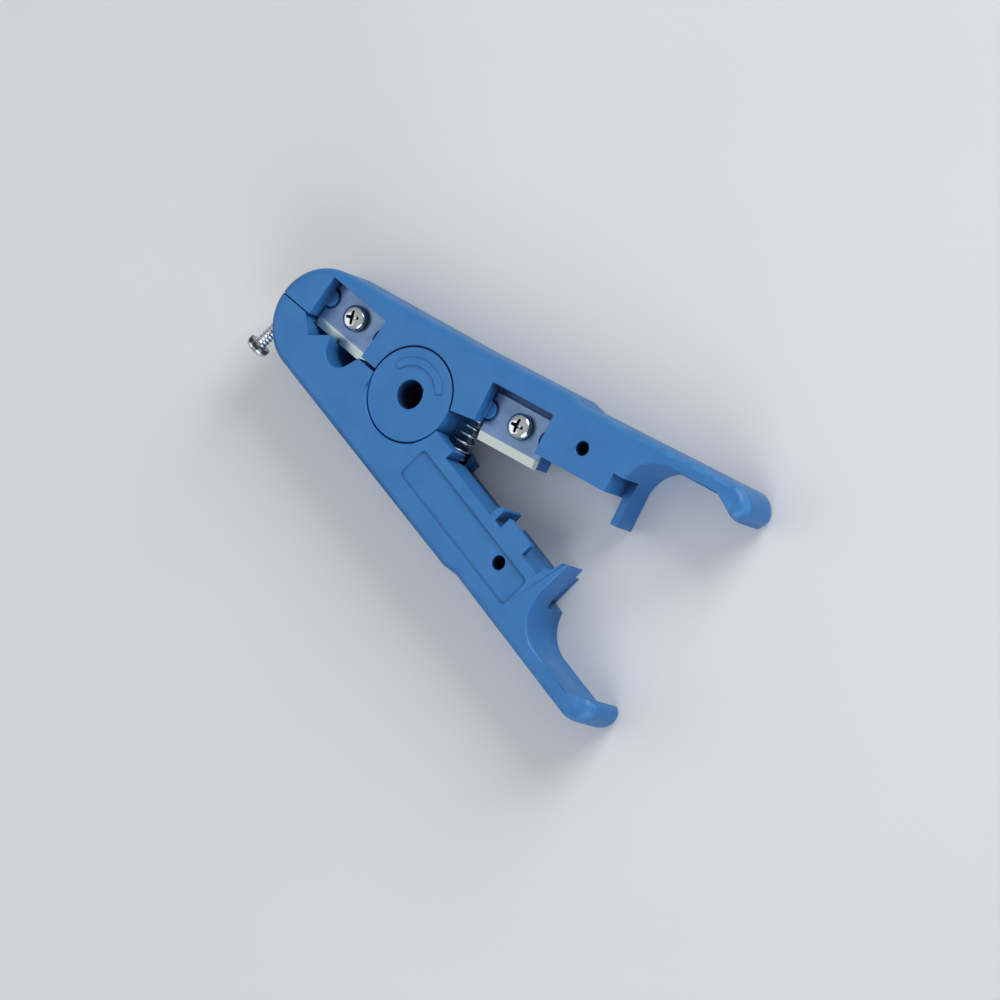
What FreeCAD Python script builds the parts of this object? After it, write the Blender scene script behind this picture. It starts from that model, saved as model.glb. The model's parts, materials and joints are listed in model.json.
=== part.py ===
import FreeCAD, Part
import math
import os
import Sketcher

# Spring-loaded hand stripper for network and telephone cable: two moulded handles on a hollow hub.
# Millimetres. The tool lies on its back: Z runs from the back face (0) up to the front face.
# The hinge axis is the Z axis. X runs along the closed nose joint, from the nose to the finger ring.

SIZES = {
    # whole tool
    "thickness": (14.0, "back face to front face"),
    "swing": (20.6, "turn in degrees from rest to the closed handles"),
    "seam_drop": (1.0, "nose joint below the hinge axis"),
    "seam_gap": (0.3, "gap between the two nose faces"),
    "edge_round": (1.8, "rounding along the outer edges"),
    "overrun": (2.0, "how far a cut runs past a face"),
    "layer_gap": (0.3, "gap between the front and rear knuckle layers"),
    "rear_layer": (7.0, "height of the plane between the layers"),
    # nose
    "nose_radius": (11.8, "round end of the nose"),
    "nose_centre": (27.7, "centre of that round ahead of the hinge"),
    "nose_taper": (9.8, "slope of the nose's outer edge in degrees"),
    # hinge
    "disc_radius": (10.0, "knuckle discs, front and rear"),
    "disc_gap": (0.3, "gap round a disc"),
    "groove_depth": (0.6, "groove round the disc on the upper handle"),
    "hub_radius": (4.8, "outside of the hollow hub"),
    "hub_play": (0.05, "running clearance of the hub"),
    "hub_bore": (3.07, "radius of the hole through the hub"),
    "barb_reach": (0.5, "snap barb beyond the hub"),
    "barb_height": (1.4, "height of the snap barb"),
    "barb_gap": (0.3, "room round the snap barb"),
    "hub_slot": (0.9, "width of the slots between the hub's snap fingers"),
    "finger_height": (4.0, "height of the snap fingers"),
    "rib_inner": (6.1, "inside of the raised rib on the disc"),
    "rib_outer": (7.7, "outside of the raised rib on the disc"),
    "rib_height": (0.3, "height of that rib"),
    "rib_start": (35.0, "where the rib starts, degrees"),
    "rib_sweep": (120.0, "angle that the rib covers"),
    # joint slit beside the disc
    "slit_width": (0.8, "wider slit between nose and disc"),
    "slit_length": (4.6, "length of that slit from the disc"),
    # handles, each in its own closed frame
    "upper_wall": (3.05, "upper ring wall out to the handle's edge"),
    "upper_swell": (0.45, "how much that edge swells before the step"),
    "lower_wall": (4.5, "lower ring wall out to the handle's edge"),
    "edge_start": (8.0, "where the outer edge leaves the nose taper"),
    "step_start": (33.3, "start of the step in the outer edge"),
    "step_run": (3.5, "length of that step"),
    "step_drop": (0.9, "height of that step"),
    "lower_step_shift": (0.5, "how much nearer the step of the lower handle is"),
    "tail_swell": (1.0, "how much the upper handle swells behind the step"),
    "lower_tail_swell": (0.25, "how much the lower handle swells behind the step"),
    # finger ring and tips
    "tip_length": (82.2, "hinge axis to the end of the upper handle"),
    "ring_length": (28.6, "ring wall nearest to the hinge, from that end"),
    "ring_half": (12.4, "upper ring wall above the hinge axis"),
    "lower_ring_extra": (0.4, "how much further out the lower ring wall is"),
    "ring_round": (8.6, "corner of the ring"),
    "ring_lean": (0.4, "how far the lower ring wall leans back"),
    "ring_soften": (0.5, "rounding of the ring's edges"),
    "hook_run": (7.3, "length of the upper hook"),
    "hook_drop": (3.4, "depth of the upper hook"),
    "hook_flat": (1.6, "lowest point of the upper hook from its end"),
    "tip_corner": (1.2, "corner cut off the end of the upper hook"),
    "tip_round": (4.8, "round end of each handle"),
    "lower_tip_shift": (1.8, "how much shorter the lower handle is"),
    "lower_hook_run": (7.0, "length of the lower hook"),
    "lower_hook_drop": (2.95, "depth of the lower hook"),
    "lower_hook_flat": (2.6, "highest point of the lower hook from its end"),
    "lower_tip_corner": (1.0, "corner cut off the end of the lower hook"),
    "lower_hook_slope": (0.2, "fall of the lower hook's flat"),
    # tabs that close the ring
    "tab_width": (1.8, "thickness of each tab along the handle"),
    "tab_reach": (4.0, "how far a tab passes the hinge line"),
    "tab_room": (3.0, "free length beyond a tab's end"),
    "recess_run": (2.4, "recess for the other tab, ahead of the ring wall"),
    "tab_room_side": (1.0, "free room ahead of the rear tab"),
    "tab_bevel": (1.6, "height of the round end of the lower tab"),
    "tab_lean": (0.3, "how far that round end stops short"),
    "tab_foot_run": (0.8, "length of the sloped foot of the lower tab"),
    "tab_foot_rise": (0.6, "height of that foot"),
    "upper_recess_top": (6.0, "top of the upper handle's recess"),
    # inner edges
    "upper_inner": (1.8, "inner edge of the upper handle"),
    "upper_inner_front": (1.1, "inner edge of the upper handle at the spring"),
    "lower_inner": (0.35, "inner edge of the lower handle below the hinge line"),
    "anvil_floor": (2.35, "floor of the cutting slot below the hinge line"),
    "anvil_depth": (8.0, "depth of that floor from the front"),
    "anvil_relief": (1.2, "step down behind the floor"),
    "heel_level": (3.0, "height of the step below the plate beside the disc"),
    "rib_top": (0.7, "top of the rib beside the slot"),
    "rib_width": (1.6, "width of that rib"),
    "rib_slope": (0.6, "width of the slope up to its top"),
    "gauge_start": (36.4, "start of the strip gauge"),
    "gauge_end": (44.1, "end of the strip gauge"),
    "gauge_top": (0.5, "top of the strip gauge"),
    "gauge_plate": (2.0, "thickness of the gauge plate"),
    "gauge_root": (1.0, "how deep the gauge plate is rooted"),
    "shoulder_run": (2.2, "length of the shoulder under the tab"),
    # blades
    "blade_length": (15.6, "length of a blade"),
    "blade_height": (10.7, "height of a blade"),
    "blade_gauge": (0.5, "thickness of a blade"),
    "bevel_height": (2.0, "height of the ground bevel"),
    "edge_land": (0.08, "thickness left at the cutting edge"),
    "blade_depth": (3.7, "front face down to the blade"),
    "blade_hole_height": (6.6, "cutting edge up to the screw hole"),
    "boss_radius": (2.0, "locating bosses at the blade's ends"),
    "boss_gap": (0.15, "gap between a blade and its bosses"),
    "boss_proud": (0.5, "boss above the blade"),
    "recess_gap": (0.3, "gap between a blade's end and its recess"),
    "recess_head": (1.5, "room above a blade in the cutter's recess"),
    "nose_head": (0.25, "room above the blade in the nose recess"),
    "nose_blade_centre": (22.7, "middle of the nose blade ahead of the hinge"),
    "nose_bite": (1.4, "nose blade beyond the nose joint"),
    "cutter_centre": (24.5, "middle of the cutter blade behind the hinge"),
    "cutter_screw_shift": (0.7, "cutter screw behind the middle of its blade"),
    "cutter_edge": (1.7, "cutting edge below the hinge line"),
    "backing_depth": (4.9, "thickness of the backing behind the cutter blade"),
    "backing_rise": (0.3, "backing above the cutting edge"),
    "slot_gap": (0.4, "gap between the backing's ends and the slot"),
    "blade_slit_gap": (0.3, "gap round the nose blade in the lower handle"),
    # screws and nuts
    "screw_radius": (1.45, "shank of a three millimetre screw"),
    "screw_point": (0.4, "chamfer at the screw's end"),
    "screw_hole": (1.6, "hole for a blade screw"),
    "head_radius": (2.8, "pan head"),
    "head_height": (2.2, "height of the pan head"),
    "head_crown": (0.9, "domed part of the pan head"),
    "adjuster_head": (2.6, "pan head of the adjusting screw"),
    "nose_screw_turn": (24.0, "turn of the nose blade screw in degrees"),
    "cutter_screw_turn": (12.0, "turn of the cutter blade screw in degrees"),
    "recess_width": (0.75, "width of the cross recess"),
    "recess_span": (3.0, "span of the cross recess"),
    "recess_depth": (1.3, "depth of the cross recess"),
    "blade_screw_length": (8.0, "length of a blade screw under its head"),
    "adjuster_length": (10.0, "length of the adjusting screw under its head"),
    "nut_width": (5.5, "across the flats of a nut"),
    "nut_height": (2.4, "height of a nut"),
    "nut_bore": (1.5, "bore of a nut"),
    "nut_gap": (0.1, "gap round a nut in its pocket"),
    "nut_depth": (5.2, "depth of the nut pocket from the back"),
    # adjusting screw
    "adjuster_seat": (35.8, "adjusting screw ahead of the hinge at the joint"),
    "adjuster_lean": (10.7, "lean of the adjusting screw in degrees"),
    "adjuster_depth": (3.4, "adjusting screw below the front face"),
    "adjuster_tip": (2.4, "tip of the adjusting screw below the joint at rest"),
    "adjuster_hole": (1.5, "threaded hole of the adjusting screw"),
    "adjuster_lead": (0.5, "start of that hole before the joint"),
    # spring
    "spring_x": (13.0, "spring behind the hinge"),
    "coil_radius": (2.2, "mean radius of the spring"),
    "wire_radius": (0.33, "radius of the spring wire"),
    "spring_pitch": (1.8, "pitch of the spring"),
    "spring_length": (16.6, "length of the spring at rest"),
    "spring_middle": (1.0, "middle of the spring below the hinge axis"),
    "well_radius": (3.1, "radius of the spring wells"),
    "well_clear": (0.05, "room at each end of the spring"),
    # small features
    "lanyard_radius": (1.5, "small hole through each handle"),
    "upper_hole_run": (11.5, "small hole in the upper handle from the ring wall"),
    "lower_hole_run": (12.1, "small hole in the lower handle from the ring wall"),
    "lanyard_height": (7.4, "small hole off the hinge line"),
    "panel_start": (11.2, "start of the sunk panel"),
    "panel_margin": (4.4, "end of the sunk panel from the ring wall"),
    "panel_near": (4.9, "near side of the sunk panel"),
    "panel_far": (12.3, "far side of the sunk panel"),
    "panel_corner": (1.0, "round corners of the sunk panel"),
    "panel_depth": (0.5, "depth of the sunk panel"),
    # notches in the lower nose
    "vee_left": (31.8, "left end of the V notch"),
    "vee_apex": (28.0, "point of the V notch"),
    "vee_depth": (3.5, "depth of the V notch"),
    "vee_right": (24.1, "right end of the V notch"),
    "land_drop": (0.7, "land between the notches below the joint"),
    "cable_left": (23.4, "left end of the round notch"),
    "cable_lean": (0.45, "how far its left wall leans in"),
    "cable_wall": (2.4, "height of that wall"),
    "cable_radius": (3.5, "round bottom of that notch"),
    "cable_slope": (3.35, "height of its right slope"),
    "cable_run": (1.6, "length of its right slope"),
    "cable_right": (14.9, "right end of the round notch"),
}


class Size:
    """A length or angle held both as a number and as the sheet expression that gives it."""

    def __init__(self, value, text):
        self.value = float(value)
        self.text = text

    def __add__(self, other):
        other = as_size(other)
        return Size(self.value + other.value, f"({self.text} + {other.text})")

    def __sub__(self, other):
        other = as_size(other)
        return Size(self.value - other.value, f"({self.text} - {other.text})")

    def __mul__(self, other):
        other = as_size(other)
        return Size(self.value * other.value, f"({self.text} * {other.text})")

    def __truediv__(self, other):
        other = as_size(other)
        return Size(self.value / other.value, f"({self.text} / {other.text})")

    def __neg__(self):
        return Size(-self.value, f"(-1 * {self.text})")

    def __rsub__(self, other):
        return as_size(other) - self

    __radd__ = __add__
    __rmul__ = __mul__


def as_size(number):
    """A plain number as a Size, so that both can be used in one sum."""
    if isinstance(number, Size):
        return number
    return Size(number, f"{number:.6g}" if number >= 0 else f"({number:.6g})")


def sine(angle):
    angle = as_size(angle)
    return Size(math.sin(math.radians(angle.value)), f"sin({angle.text})")


def cosine(angle):
    angle = as_size(angle)
    return Size(math.cos(math.radians(angle.value)), f"cos({angle.text})")


doc = FreeCAD.newDocument("cable_stripper")
sheet = doc.addObject("Spreadsheet::Sheet", "Sizes")
named = {}
for row, (alias, (value, note)) in enumerate(SIZES.items(), start=1):
    sheet.set(f"A{row}", alias)
    sheet.set(f"B{row}", str(value))
    sheet.set(f"C{row}", note)
    sheet.setAlias(f"B{row}", alias)
    named[alias] = Size(value, f"Sizes.{alias}")
doc.recompute()


class Lookup:
    """Gives each size of the sheet as an attribute."""

    def __getattr__(self, alias):
        return named[alias]


dim = Lookup()


def bind(item, path, size):
    """Tie a property to the sheet, or set it when the size is a plain number."""
    item.setExpression(path, as_size(size).text)


def place(item, x=0, y=0, z=0, angle=None, axis=None):
    """Put a sub-part at a point, turned about an axis."""
    turn_axis = FreeCAD.Vector(0, 0, 1)
    if axis:
        turn_axis = FreeCAD.Vector(*[as_size(part).value for part in axis])
    turn = as_size(angle if angle is not None else 0)
    base = FreeCAD.Vector(as_size(x).value, as_size(y).value, as_size(z).value)
    item.Placement = FreeCAD.Placement(base, FreeCAD.Rotation(turn_axis, turn.value))
    bind(item, "Placement.Base.x", x)
    bind(item, "Placement.Base.y", y)
    bind(item, "Placement.Base.z", z)
    if angle is not None:
        bind(item, "Placement.Rotation.Angle", angle)
    if axis:
        bind(item, "Placement.Rotation.Axis.x", axis[0])
        bind(item, "Placement.Rotation.Axis.y", axis[1])
        bind(item, "Placement.Rotation.Axis.z", axis[2])


def new_body(name):
    body = doc.addObject("PartDesign::Body", name)
    body.Label = name
    return body


def new_sketch(body, name, level, role):
    """An empty sketch on one of the body's own planes, lifted off it by level."""
    plane = [item for item in body.Origin.OriginFeatures if item.Role == role][0]
    sketch = body.newObject("Sketcher::SketchObject", name)
    sketch.AttachmentSupport = [(plane, "")]
    sketch.MapMode = "FlatFace"
    sketch.AttachmentOffset = FreeCAD.Placement(FreeCAD.Vector(0, 0, as_size(level).value),
                                                FreeCAD.Rotation())
    bind(sketch, "AttachmentOffset.Base.z", level)
    return sketch


def pin_point(sketch, geometry, corner, x, y):
    """Hold a corner of the sketch at a place given by two sizes."""
    for kind, size in (("DistanceX", x), ("DistanceY", y)):
        size = as_size(size)
        index = sketch.addConstraint(Sketcher.Constraint(kind, -1, 1, geometry, corner, size.value))
        bind(sketch, f"Constraints[{index}]", size)


def pin_radius(sketch, geometry, radius):
    radius = as_size(radius)
    index = sketch.addConstraint(Sketcher.Constraint("Radius", geometry, radius.value))
    bind(sketch, f"Constraints[{index}]", radius)


def arc_between(start, end, radius):
    """The arc of a radius from start to end: it bulges to the right of the way for a radius over 0."""
    chord = end - start
    half = chord.Length / 2
    rise = math.sqrt(max(radius * radius - half * half, 0.0))
    left = FreeCAD.Vector(-chord.y, chord.x, 0).normalize()
    side = 1 if radius > 0 else -1
    centre = start + chord * 0.5 + left * (rise * side)
    middle = centre - left * (abs(radius) * side)
    return Part.Arc(start, middle, end)


def outline(body, name, corners, level=0, role="XY_Plane"):
    """A closed sketch. A corner is (x, y), or (x, y, radius) when the side that leaves it is an arc."""
    sketch = new_sketch(body, name, level, role)
    points = [FreeCAD.Vector(as_size(c[0]).value, as_size(c[1]).value, 0) for c in corners]
    sides = []
    for number, corner in enumerate(corners):
        start = points[number]
        end = points[(number + 1) % len(points)]
        if len(corner) == 3:
            sides.append(arc_between(start, end, as_size(corner[2]).value))
        else:
            sides.append(Part.LineSegment(start, end))
    sketch.addGeometry(sides, False)
    first = [1] * len(sides)
    for number, side in enumerate(sides):
        if isinstance(side, Part.Arc) or isinstance(side, Part.ArcOfCircle):
            begins = sketch.getPoint(number, 1)
            if begins.distanceToPoint(points[number]) > 1e-6:
                first[number] = 2
    for number in range(len(sides)):
        after = (number + 1) % len(sides)
        last = 3 - first[number]
        sketch.addConstraint(Sketcher.Constraint("Coincident", number, last, after, first[after]))
    for number, corner in enumerate(corners):
        pin_point(sketch, number, first[number], corner[0], corner[1])
        if len(corner) == 3:
            size = as_size(corner[2])
            pin_radius(sketch, number, size if size.value > 0 else -size)
    return sketch


def circles(body, name, centres, radius, level=0, role="XY_Plane"):
    """A sketch with one circle of the same radius at each centre."""
    sketch = new_sketch(body, name, level, role)
    for number, (x, y) in enumerate(centres):
        centre = FreeCAD.Vector(as_size(x).value, as_size(y).value, 0)
        sketch.addGeometry(Part.Circle(centre, FreeCAD.Vector(0, 0, 1), as_size(radius).value), False)
        pin_point(sketch, number, 3, x, y)
        pin_radius(sketch, number, radius)
    return sketch


def grow(body, sketch, height, name, reverse=False):
    """Add material over the sketch, along its normal."""
    feature = body.newObject("PartDesign::Pad", name)
    feature.Profile = sketch
    feature.Reversed = reverse
    bind(feature, "Length", height)
    doc.recompute()
    return feature


def sink(body, sketch, depth, name, reverse=False):
    """Cut the sketch away against its normal."""
    feature = body.newObject("PartDesign::Pocket", name)
    feature.Profile = sketch
    feature.Reversed = reverse
    bind(feature, "Length", depth)
    doc.recompute()
    return feature


def drill(body, name, centres, radius, level, depth):
    """Cut round holes down from a level."""
    return sink(body, circles(body, name + "_round", centres, radius, level), depth, name)


def mill(body, name, corners, level, depth):
    """Cut an outline away, down from a level."""
    return sink(body, outline(body, name + "_outline", corners, level), depth, name)


def add_round(body, name, centres, radius, level, height):
    """Add round bosses, up from a level."""
    return grow(body, circles(body, name + "_round", centres, radius, level), height, name)


def add_block(body, name, corners, level, height):
    """Add material over an outline, up from a level."""
    return grow(body, outline(body, name + "_outline", corners, level), height, name)


def soften(body, feature, radius, name, wanted):
    """Round the edges of the last feature for which wanted(edge) is true."""
    picked = [f"Edge{number}" for number, edge in enumerate(feature.Shape.Edges, start=1) if wanted(edge)]
    fillet = body.newObject("PartDesign::Fillet", name)
    fillet.Base = (feature, picked)
    bind(fillet, "Radius", radius)
    doc.recompute()
    return fillet


def tail_point(x, y, sign, *radius):
    """A point of a closed handle as it lies in the open tool: sign is 1 for the upper handle."""
    half_swing = dim.swing / 2
    turned_x = x * cosine(half_swing) - y * sine(half_swing) * sign
    turned_y = x * sine(half_swing) * sign + y * cosine(half_swing)
    return (turned_x, turned_y, *radius)


def box_corners(left, right, low, high, sign=None):
    """Four corners of a rectangle, turned with a handle when sign is given."""
    corners = [(left, low), (right, low), (right, high), (left, high)]
    if sign is None:
        return corners
    return [tail_point(as_size(x), as_size(y), sign) for x, y in corners]


front = dim.thickness
rear_top = dim.rear_layer - dim.layer_gap / 2
front_base = dim.rear_layer + dim.layer_gap / 2
blade_back = front - dim.blade_depth - dim.blade_gauge
overrun = dim.overrun
ring_start = dim.tip_length - dim.ring_length
lower_ring = dim.ring_half + dim.lower_ring_extra
tab_left = ring_start - dim.tab_width
EDGE_REACH = 0.4


def on_outline(points, edge):
    """True when the middle of an edge lies near one of the points, seen from above."""
    middle = edge.valueAt((edge.FirstParameter + edge.LastParameter) / 2)
    return any(math.hypot(middle.x - x, middle.y - y) < EDGE_REACH for x, y in points)


def middle_of(corners, number):
    """The middle of side number of an outline, on its arc when it is one."""
    start = FreeCAD.Vector(corners[number][0].value, corners[number][1].value, 0)
    after = corners[(number + 1) % len(corners)]
    end = FreeCAD.Vector(after[0].value, after[1].value, 0)
    if len(corners[number]) == 3:
        arc = arc_between(start, end, as_size(corners[number][2]).value)
        point = arc.value((arc.FirstParameter + arc.LastParameter) / 2)
        return (point.x, point.y)
    return ((start.x + end.x) / 2, (start.y + end.y) / 2)


def round_rims(body, pad, corners, outer_sides, ring_sides, prefix):
    """Round the outer edges and, less, the edges of the finger ring, front and back."""
    def flat(edge):
        low = edge.BoundBox.ZMin
        high = edge.BoundBox.ZMax
        return abs(high - low) < 1e-6

    outer = [middle_of(corners, number) for number in outer_sides]
    ring = [middle_of(corners, number) for number in ring_sides]
    last = soften(body, pad, dim.edge_round, prefix + "_edge", lambda e: flat(e) and on_outline(outer, e))
    return soften(body, last, dim.ring_soften, prefix + "_ring", lambda e: flat(e) and on_outline(ring, e))


def upper_handle():
    """Front knuckle, hollow hub, both blade recesses and the rear tab."""
    body = new_body("upper_handle")
    seam = -dim.seam_drop + dim.seam_gap / 2
    slit = -dim.seam_drop + dim.slit_width / 2
    slit_end = -dim.disc_radius - dim.slit_length
    edge = dim.ring_half + dim.upper_wall
    stepped = edge + dim.upper_swell - dim.step_drop
    hook_low = dim.ring_half - dim.hook_drop
    tip = dim.tip_length
    corners = [
        (-dim.nose_centre - dim.nose_radius, seam, -dim.nose_radius),
        (-dim.nose_centre - dim.nose_radius * sine(dim.nose_taper),
         dim.nose_radius * cosine(dim.nose_taper) - dim.seam_drop),
        tail_point(dim.edge_start, edge, 1),
        tail_point(dim.step_start, edge + dim.upper_swell, 1),
        tail_point(dim.step_start + dim.step_run, stepped, 1),
        tail_point(tip - dim.tip_round, stepped + dim.tail_swell, 1, -dim.tip_round),
        tail_point(tip, stepped + dim.tail_swell - dim.tip_round, 1),
        tail_point(tip - dim.tip_corner, hook_low + dim.tip_corner, 1),
        tail_point(tip - dim.hook_flat, hook_low, 1),
        tail_point(tip - dim.hook_run, dim.ring_half, 1),
        tail_point(ring_start + dim.ring_round, dim.ring_half, 1, dim.ring_round),
        tail_point(ring_start, dim.ring_half - dim.ring_round, 1),
        tail_point(ring_start, -dim.tab_reach, 1),
        tail_point(tab_left, -dim.tab_reach, 1),
        tail_point(tab_left, dim.upper_inner, 1),
        tail_point(dim.cutter_centre - dim.blade_length / 2, dim.upper_inner, 1),
        tail_point(dim.disc_radius, dim.upper_inner_front, 1),
        (-dim.disc_radius, slit),
        (slit_end, slit),
        (slit_end, seam),
    ]
    pad = add_block(body, "upper_slab", corners, 0, front)
    round_rims(body, pad, corners, [0, 1, 2, 3, 4, 5, 6, 7], [9, 10, 11], "upper")
    knuckle(body, "upper", at_front=True)
    upper_hub(body)
    disc_groove(body)
    half = dim.blade_length / 2
    backing = box_corners(dim.cutter_centre - half, dim.cutter_centre + half,
                          dim.backing_rise - dim.cutter_edge, dim.upper_inner + overrun, 1)
    add_block(body, "cutter_backing", backing, blade_back - dim.backing_depth, dim.backing_depth)
    blade_seat(body, "nose", None, -dim.nose_blade_centre, nose_edge, dim.nose_head, 0)
    shift = dim.cutter_screw_shift
    blade_seat(body, "cutter", 1, dim.cutter_centre, -dim.cutter_edge, dim.recess_head, shift)
    notch = box_corners(ring_start - dim.recess_run, ring_start + overrun,
                        -dim.tab_reach - overrun, dim.upper_recess_top, 1)
    mill(body, "front_tab_room", notch, front, front - rear_top)
    spring_well(body, "upper", 1)
    lanyard = tail_point(ring_start - dim.upper_hole_run, dim.lanyard_height, 1)
    drill(body, "upper_small_hole", [lanyard], dim.lanyard_radius, front, front)
    return body


def lower_handle():
    """Root of the tool: rear knuckle, notched nose, anvil slot, strip gauge and the front tab."""
    body = new_body("lower_handle")
    seam = -dim.seam_drop - dim.seam_gap / 2
    slit = -dim.seam_drop - dim.slit_width / 2
    slit_end = -dim.disc_radius - dim.slit_length
    land = -dim.seam_drop - dim.land_drop
    edge = -lower_ring - dim.lower_wall
    stepped = edge + dim.step_drop
    swollen = stepped - dim.lower_tail_swell
    step = dim.step_start - dim.lower_step_shift
    tip = dim.tip_length - dim.lower_tip_shift
    hook_high = -lower_ring + dim.lower_hook_drop
    shoulder = tab_left - dim.shoulder_run
    slot_left = dim.cutter_centre - dim.blade_length / 2 - dim.slot_gap
    slot_right = dim.cutter_centre + dim.blade_length / 2 + dim.slot_gap
    floor = -dim.anvil_floor
    inner = -dim.lower_inner
    corners = [
        (-dim.nose_centre - dim.nose_radius, seam),
        (-dim.vee_left, seam),
        (-dim.vee_apex, -dim.seam_drop - dim.vee_depth),
        (-dim.vee_right, land),
        (-dim.cable_left, land),
        (dim.cable_lean - dim.cable_left, -dim.seam_drop - dim.cable_wall, dim.cable_radius),
        (-dim.cable_right - dim.cable_run, -dim.seam_drop - dim.cable_slope),
        (-dim.cable_right, seam),
        (slit_end, seam),
        (slit_end, slit),
        (-dim.disc_radius, slit),
        tail_point(dim.disc_radius, inner, -1),
        tail_point(slot_left, inner, -1),
        tail_point(slot_left, floor, -1),
        tail_point(slot_right, floor, -1),
        tail_point(slot_right, inner, -1),
        tail_point(slot_right + dim.rib_slope, dim.rib_top, -1),
        tail_point(slot_right + dim.rib_width, dim.rib_top, -1),
        tail_point(slot_right + dim.rib_width, floor, -1),
        tail_point(shoulder, floor, -1),
        tail_point(shoulder, inner, -1),
        tail_point(tab_left - dim.tab_foot_run, inner + dim.tab_foot_rise, -1),
        tail_point(tab_left, dim.tab_reach - dim.tab_bevel, -1, -dim.tab_width),
        tail_point(ring_start - dim.tab_lean, dim.tab_reach, -1),
        tail_point(ring_start - dim.ring_lean, dim.ring_round - lower_ring, -1, dim.ring_round),
        tail_point(ring_start - dim.ring_lean + dim.ring_round, -lower_ring, -1),
        tail_point(tip - dim.lower_hook_run, -lower_ring, -1),
        tail_point(tip - dim.lower_hook_flat, hook_high, -1),
        tail_point(tip - dim.lower_tip_corner, hook_high - dim.lower_hook_slope, -1),
        tail_point(tip, swollen + dim.tip_round, -1, -dim.tip_round),
        tail_point(tip - dim.tip_round, swollen, -1),
        tail_point(step + dim.step_run, stepped, -1),
        tail_point(step, edge, -1),
        tail_point(dim.edge_start, edge, -1),
        (-dim.nose_centre - dim.nose_radius * sine(dim.nose_taper),
         -dim.nose_radius * cosine(dim.nose_taper) - dim.seam_drop, -dim.nose_radius),
    ]
    pad = add_block(body, "lower_slab", corners, 0, front)
    round_rims(body, pad, corners, [27, 28, 29, 30, 31, 32, 33, 34], [24, 25, 26], "lower")
    knuckle(body, "lower", at_front=False)
    axis = [(0, 0)]
    drill(body, "knuckle_bore", axis, dim.hub_radius + dim.hub_play, rear_top, rear_top)
    barb_room = dim.hub_radius + dim.barb_reach + dim.barb_gap
    barb_top = dim.barb_height + dim.barb_gap
    drill(body, "barb_counterbore", axis, barb_room, barb_top, barb_top)
    strip_gauge(body, floor)
    above = dim.rib_top + overrun
    relief = box_corners(slot_left, slot_right + dim.rib_width, floor - dim.anvil_relief, above, -1)
    relief_top = front - dim.anvil_depth
    mill(body, "anvil_relief", relief, relief_top, relief_top)
    heel_low = inner - dim.anvil_relief
    heel = box_corners(dim.disc_radius, slot_left + overrun, heel_low, above, -1)
    mill(body, "heel_step", heel, dim.heel_level, dim.heel_level)
    behind = box_corners(tab_left - dim.tab_room_side, ring_start + overrun,
                         -dim.tab_reach - dim.tab_room, dim.tab_reach + overrun, -1)
    mill(body, "rear_tab_room", behind, front_base, front_base)
    half_slit = dim.blade_slit_gap
    slit_low = blade_back - half_slit
    slit_high = blade_back + dim.blade_gauge + half_slit
    blade_slit = box_corners(-dim.nose_blade_centre - dim.blade_length / 2 - half_slit,
                             -dim.nose_blade_centre + dim.blade_length / 2 + half_slit,
                             nose_edge - half_slit, overrun)
    mill(body, "nose_blade_slit", blade_slit, slit_high, slit_high - slit_low)
    spring_well(body, "lower", -1)
    panel(body)
    lanyard = tail_point(ring_start - dim.lower_hole_run, -dim.lanyard_height, -1)
    drill(body, "lower_small_hole", [lanyard], dim.lanyard_radius, front, front)
    adjuster_hole(body)
    return body


def strip_gauge(body, floor):
    """Thin front plate between two slots, against which a cable end is set."""
    plate = box_corners(dim.gauge_start, dim.gauge_end, floor - dim.gauge_root, dim.gauge_top, -1)
    add_block(body, "strip_gauge", plate, front - dim.gauge_plate, dim.gauge_plate)


def panel(body):
    """Sunk panel with round corners on the front of the lower handle."""
    left = dim.panel_start
    right = ring_start - dim.panel_margin
    low = -dim.panel_far
    high = -dim.panel_near
    corner = dim.panel_corner
    frame = [(left, low + corner, corner), (left + corner, low), (right - corner, low, corner),
             (right, low + corner), (right, high - corner, corner), (right - corner, high),
             (left + corner, high, corner), (left, high - corner)]
    turned = [tail_point(spot[0], spot[1], -1, *spot[2:]) for spot in frame]
    mill(body, "sunk_panel", turned, front, dim.panel_depth)


def adjuster_hole(body):
    """Tapped hole of the adjusting screw, leaning through the lower nose."""
    plane = [item for item in body.Origin.OriginFeatures if item.Role == "XZ_Plane"][0]
    sketch = body.newObject("Sketcher::SketchObject", "adjuster_round")
    sketch.AttachmentSupport = [(plane, "")]
    sketch.MapMode = "FlatFace"
    turn = FreeCAD.Rotation(FreeCAD.Vector(0, 1, 0), -dim.adjuster_lean.value)
    sketch.AttachmentOffset = FreeCAD.Placement(FreeCAD.Vector(), turn)
    lead_in = dim.adjuster_lead
    bind(sketch, "AttachmentOffset.Base.x", lead_in * sine(dim.adjuster_lean) - dim.adjuster_seat)
    bind(sketch, "AttachmentOffset.Base.y", front - dim.adjuster_depth)
    bind(sketch, "AttachmentOffset.Base.z", dim.seam_drop - lead_in * cosine(dim.adjuster_lean))
    bind(sketch, "AttachmentOffset.Rotation.Angle", -dim.adjuster_lean)
    bore = Part.Circle(FreeCAD.Vector(), FreeCAD.Vector(0, 0, 1), dim.adjuster_hole.value)
    sketch.addGeometry(bore, False)
    pin_point(sketch, 0, 3, 0, 0)
    pin_radius(sketch, 0, dim.adjuster_hole)
    sink(body, sketch, dim.nose_radius + overrun, "adjuster_bore", True)


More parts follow.
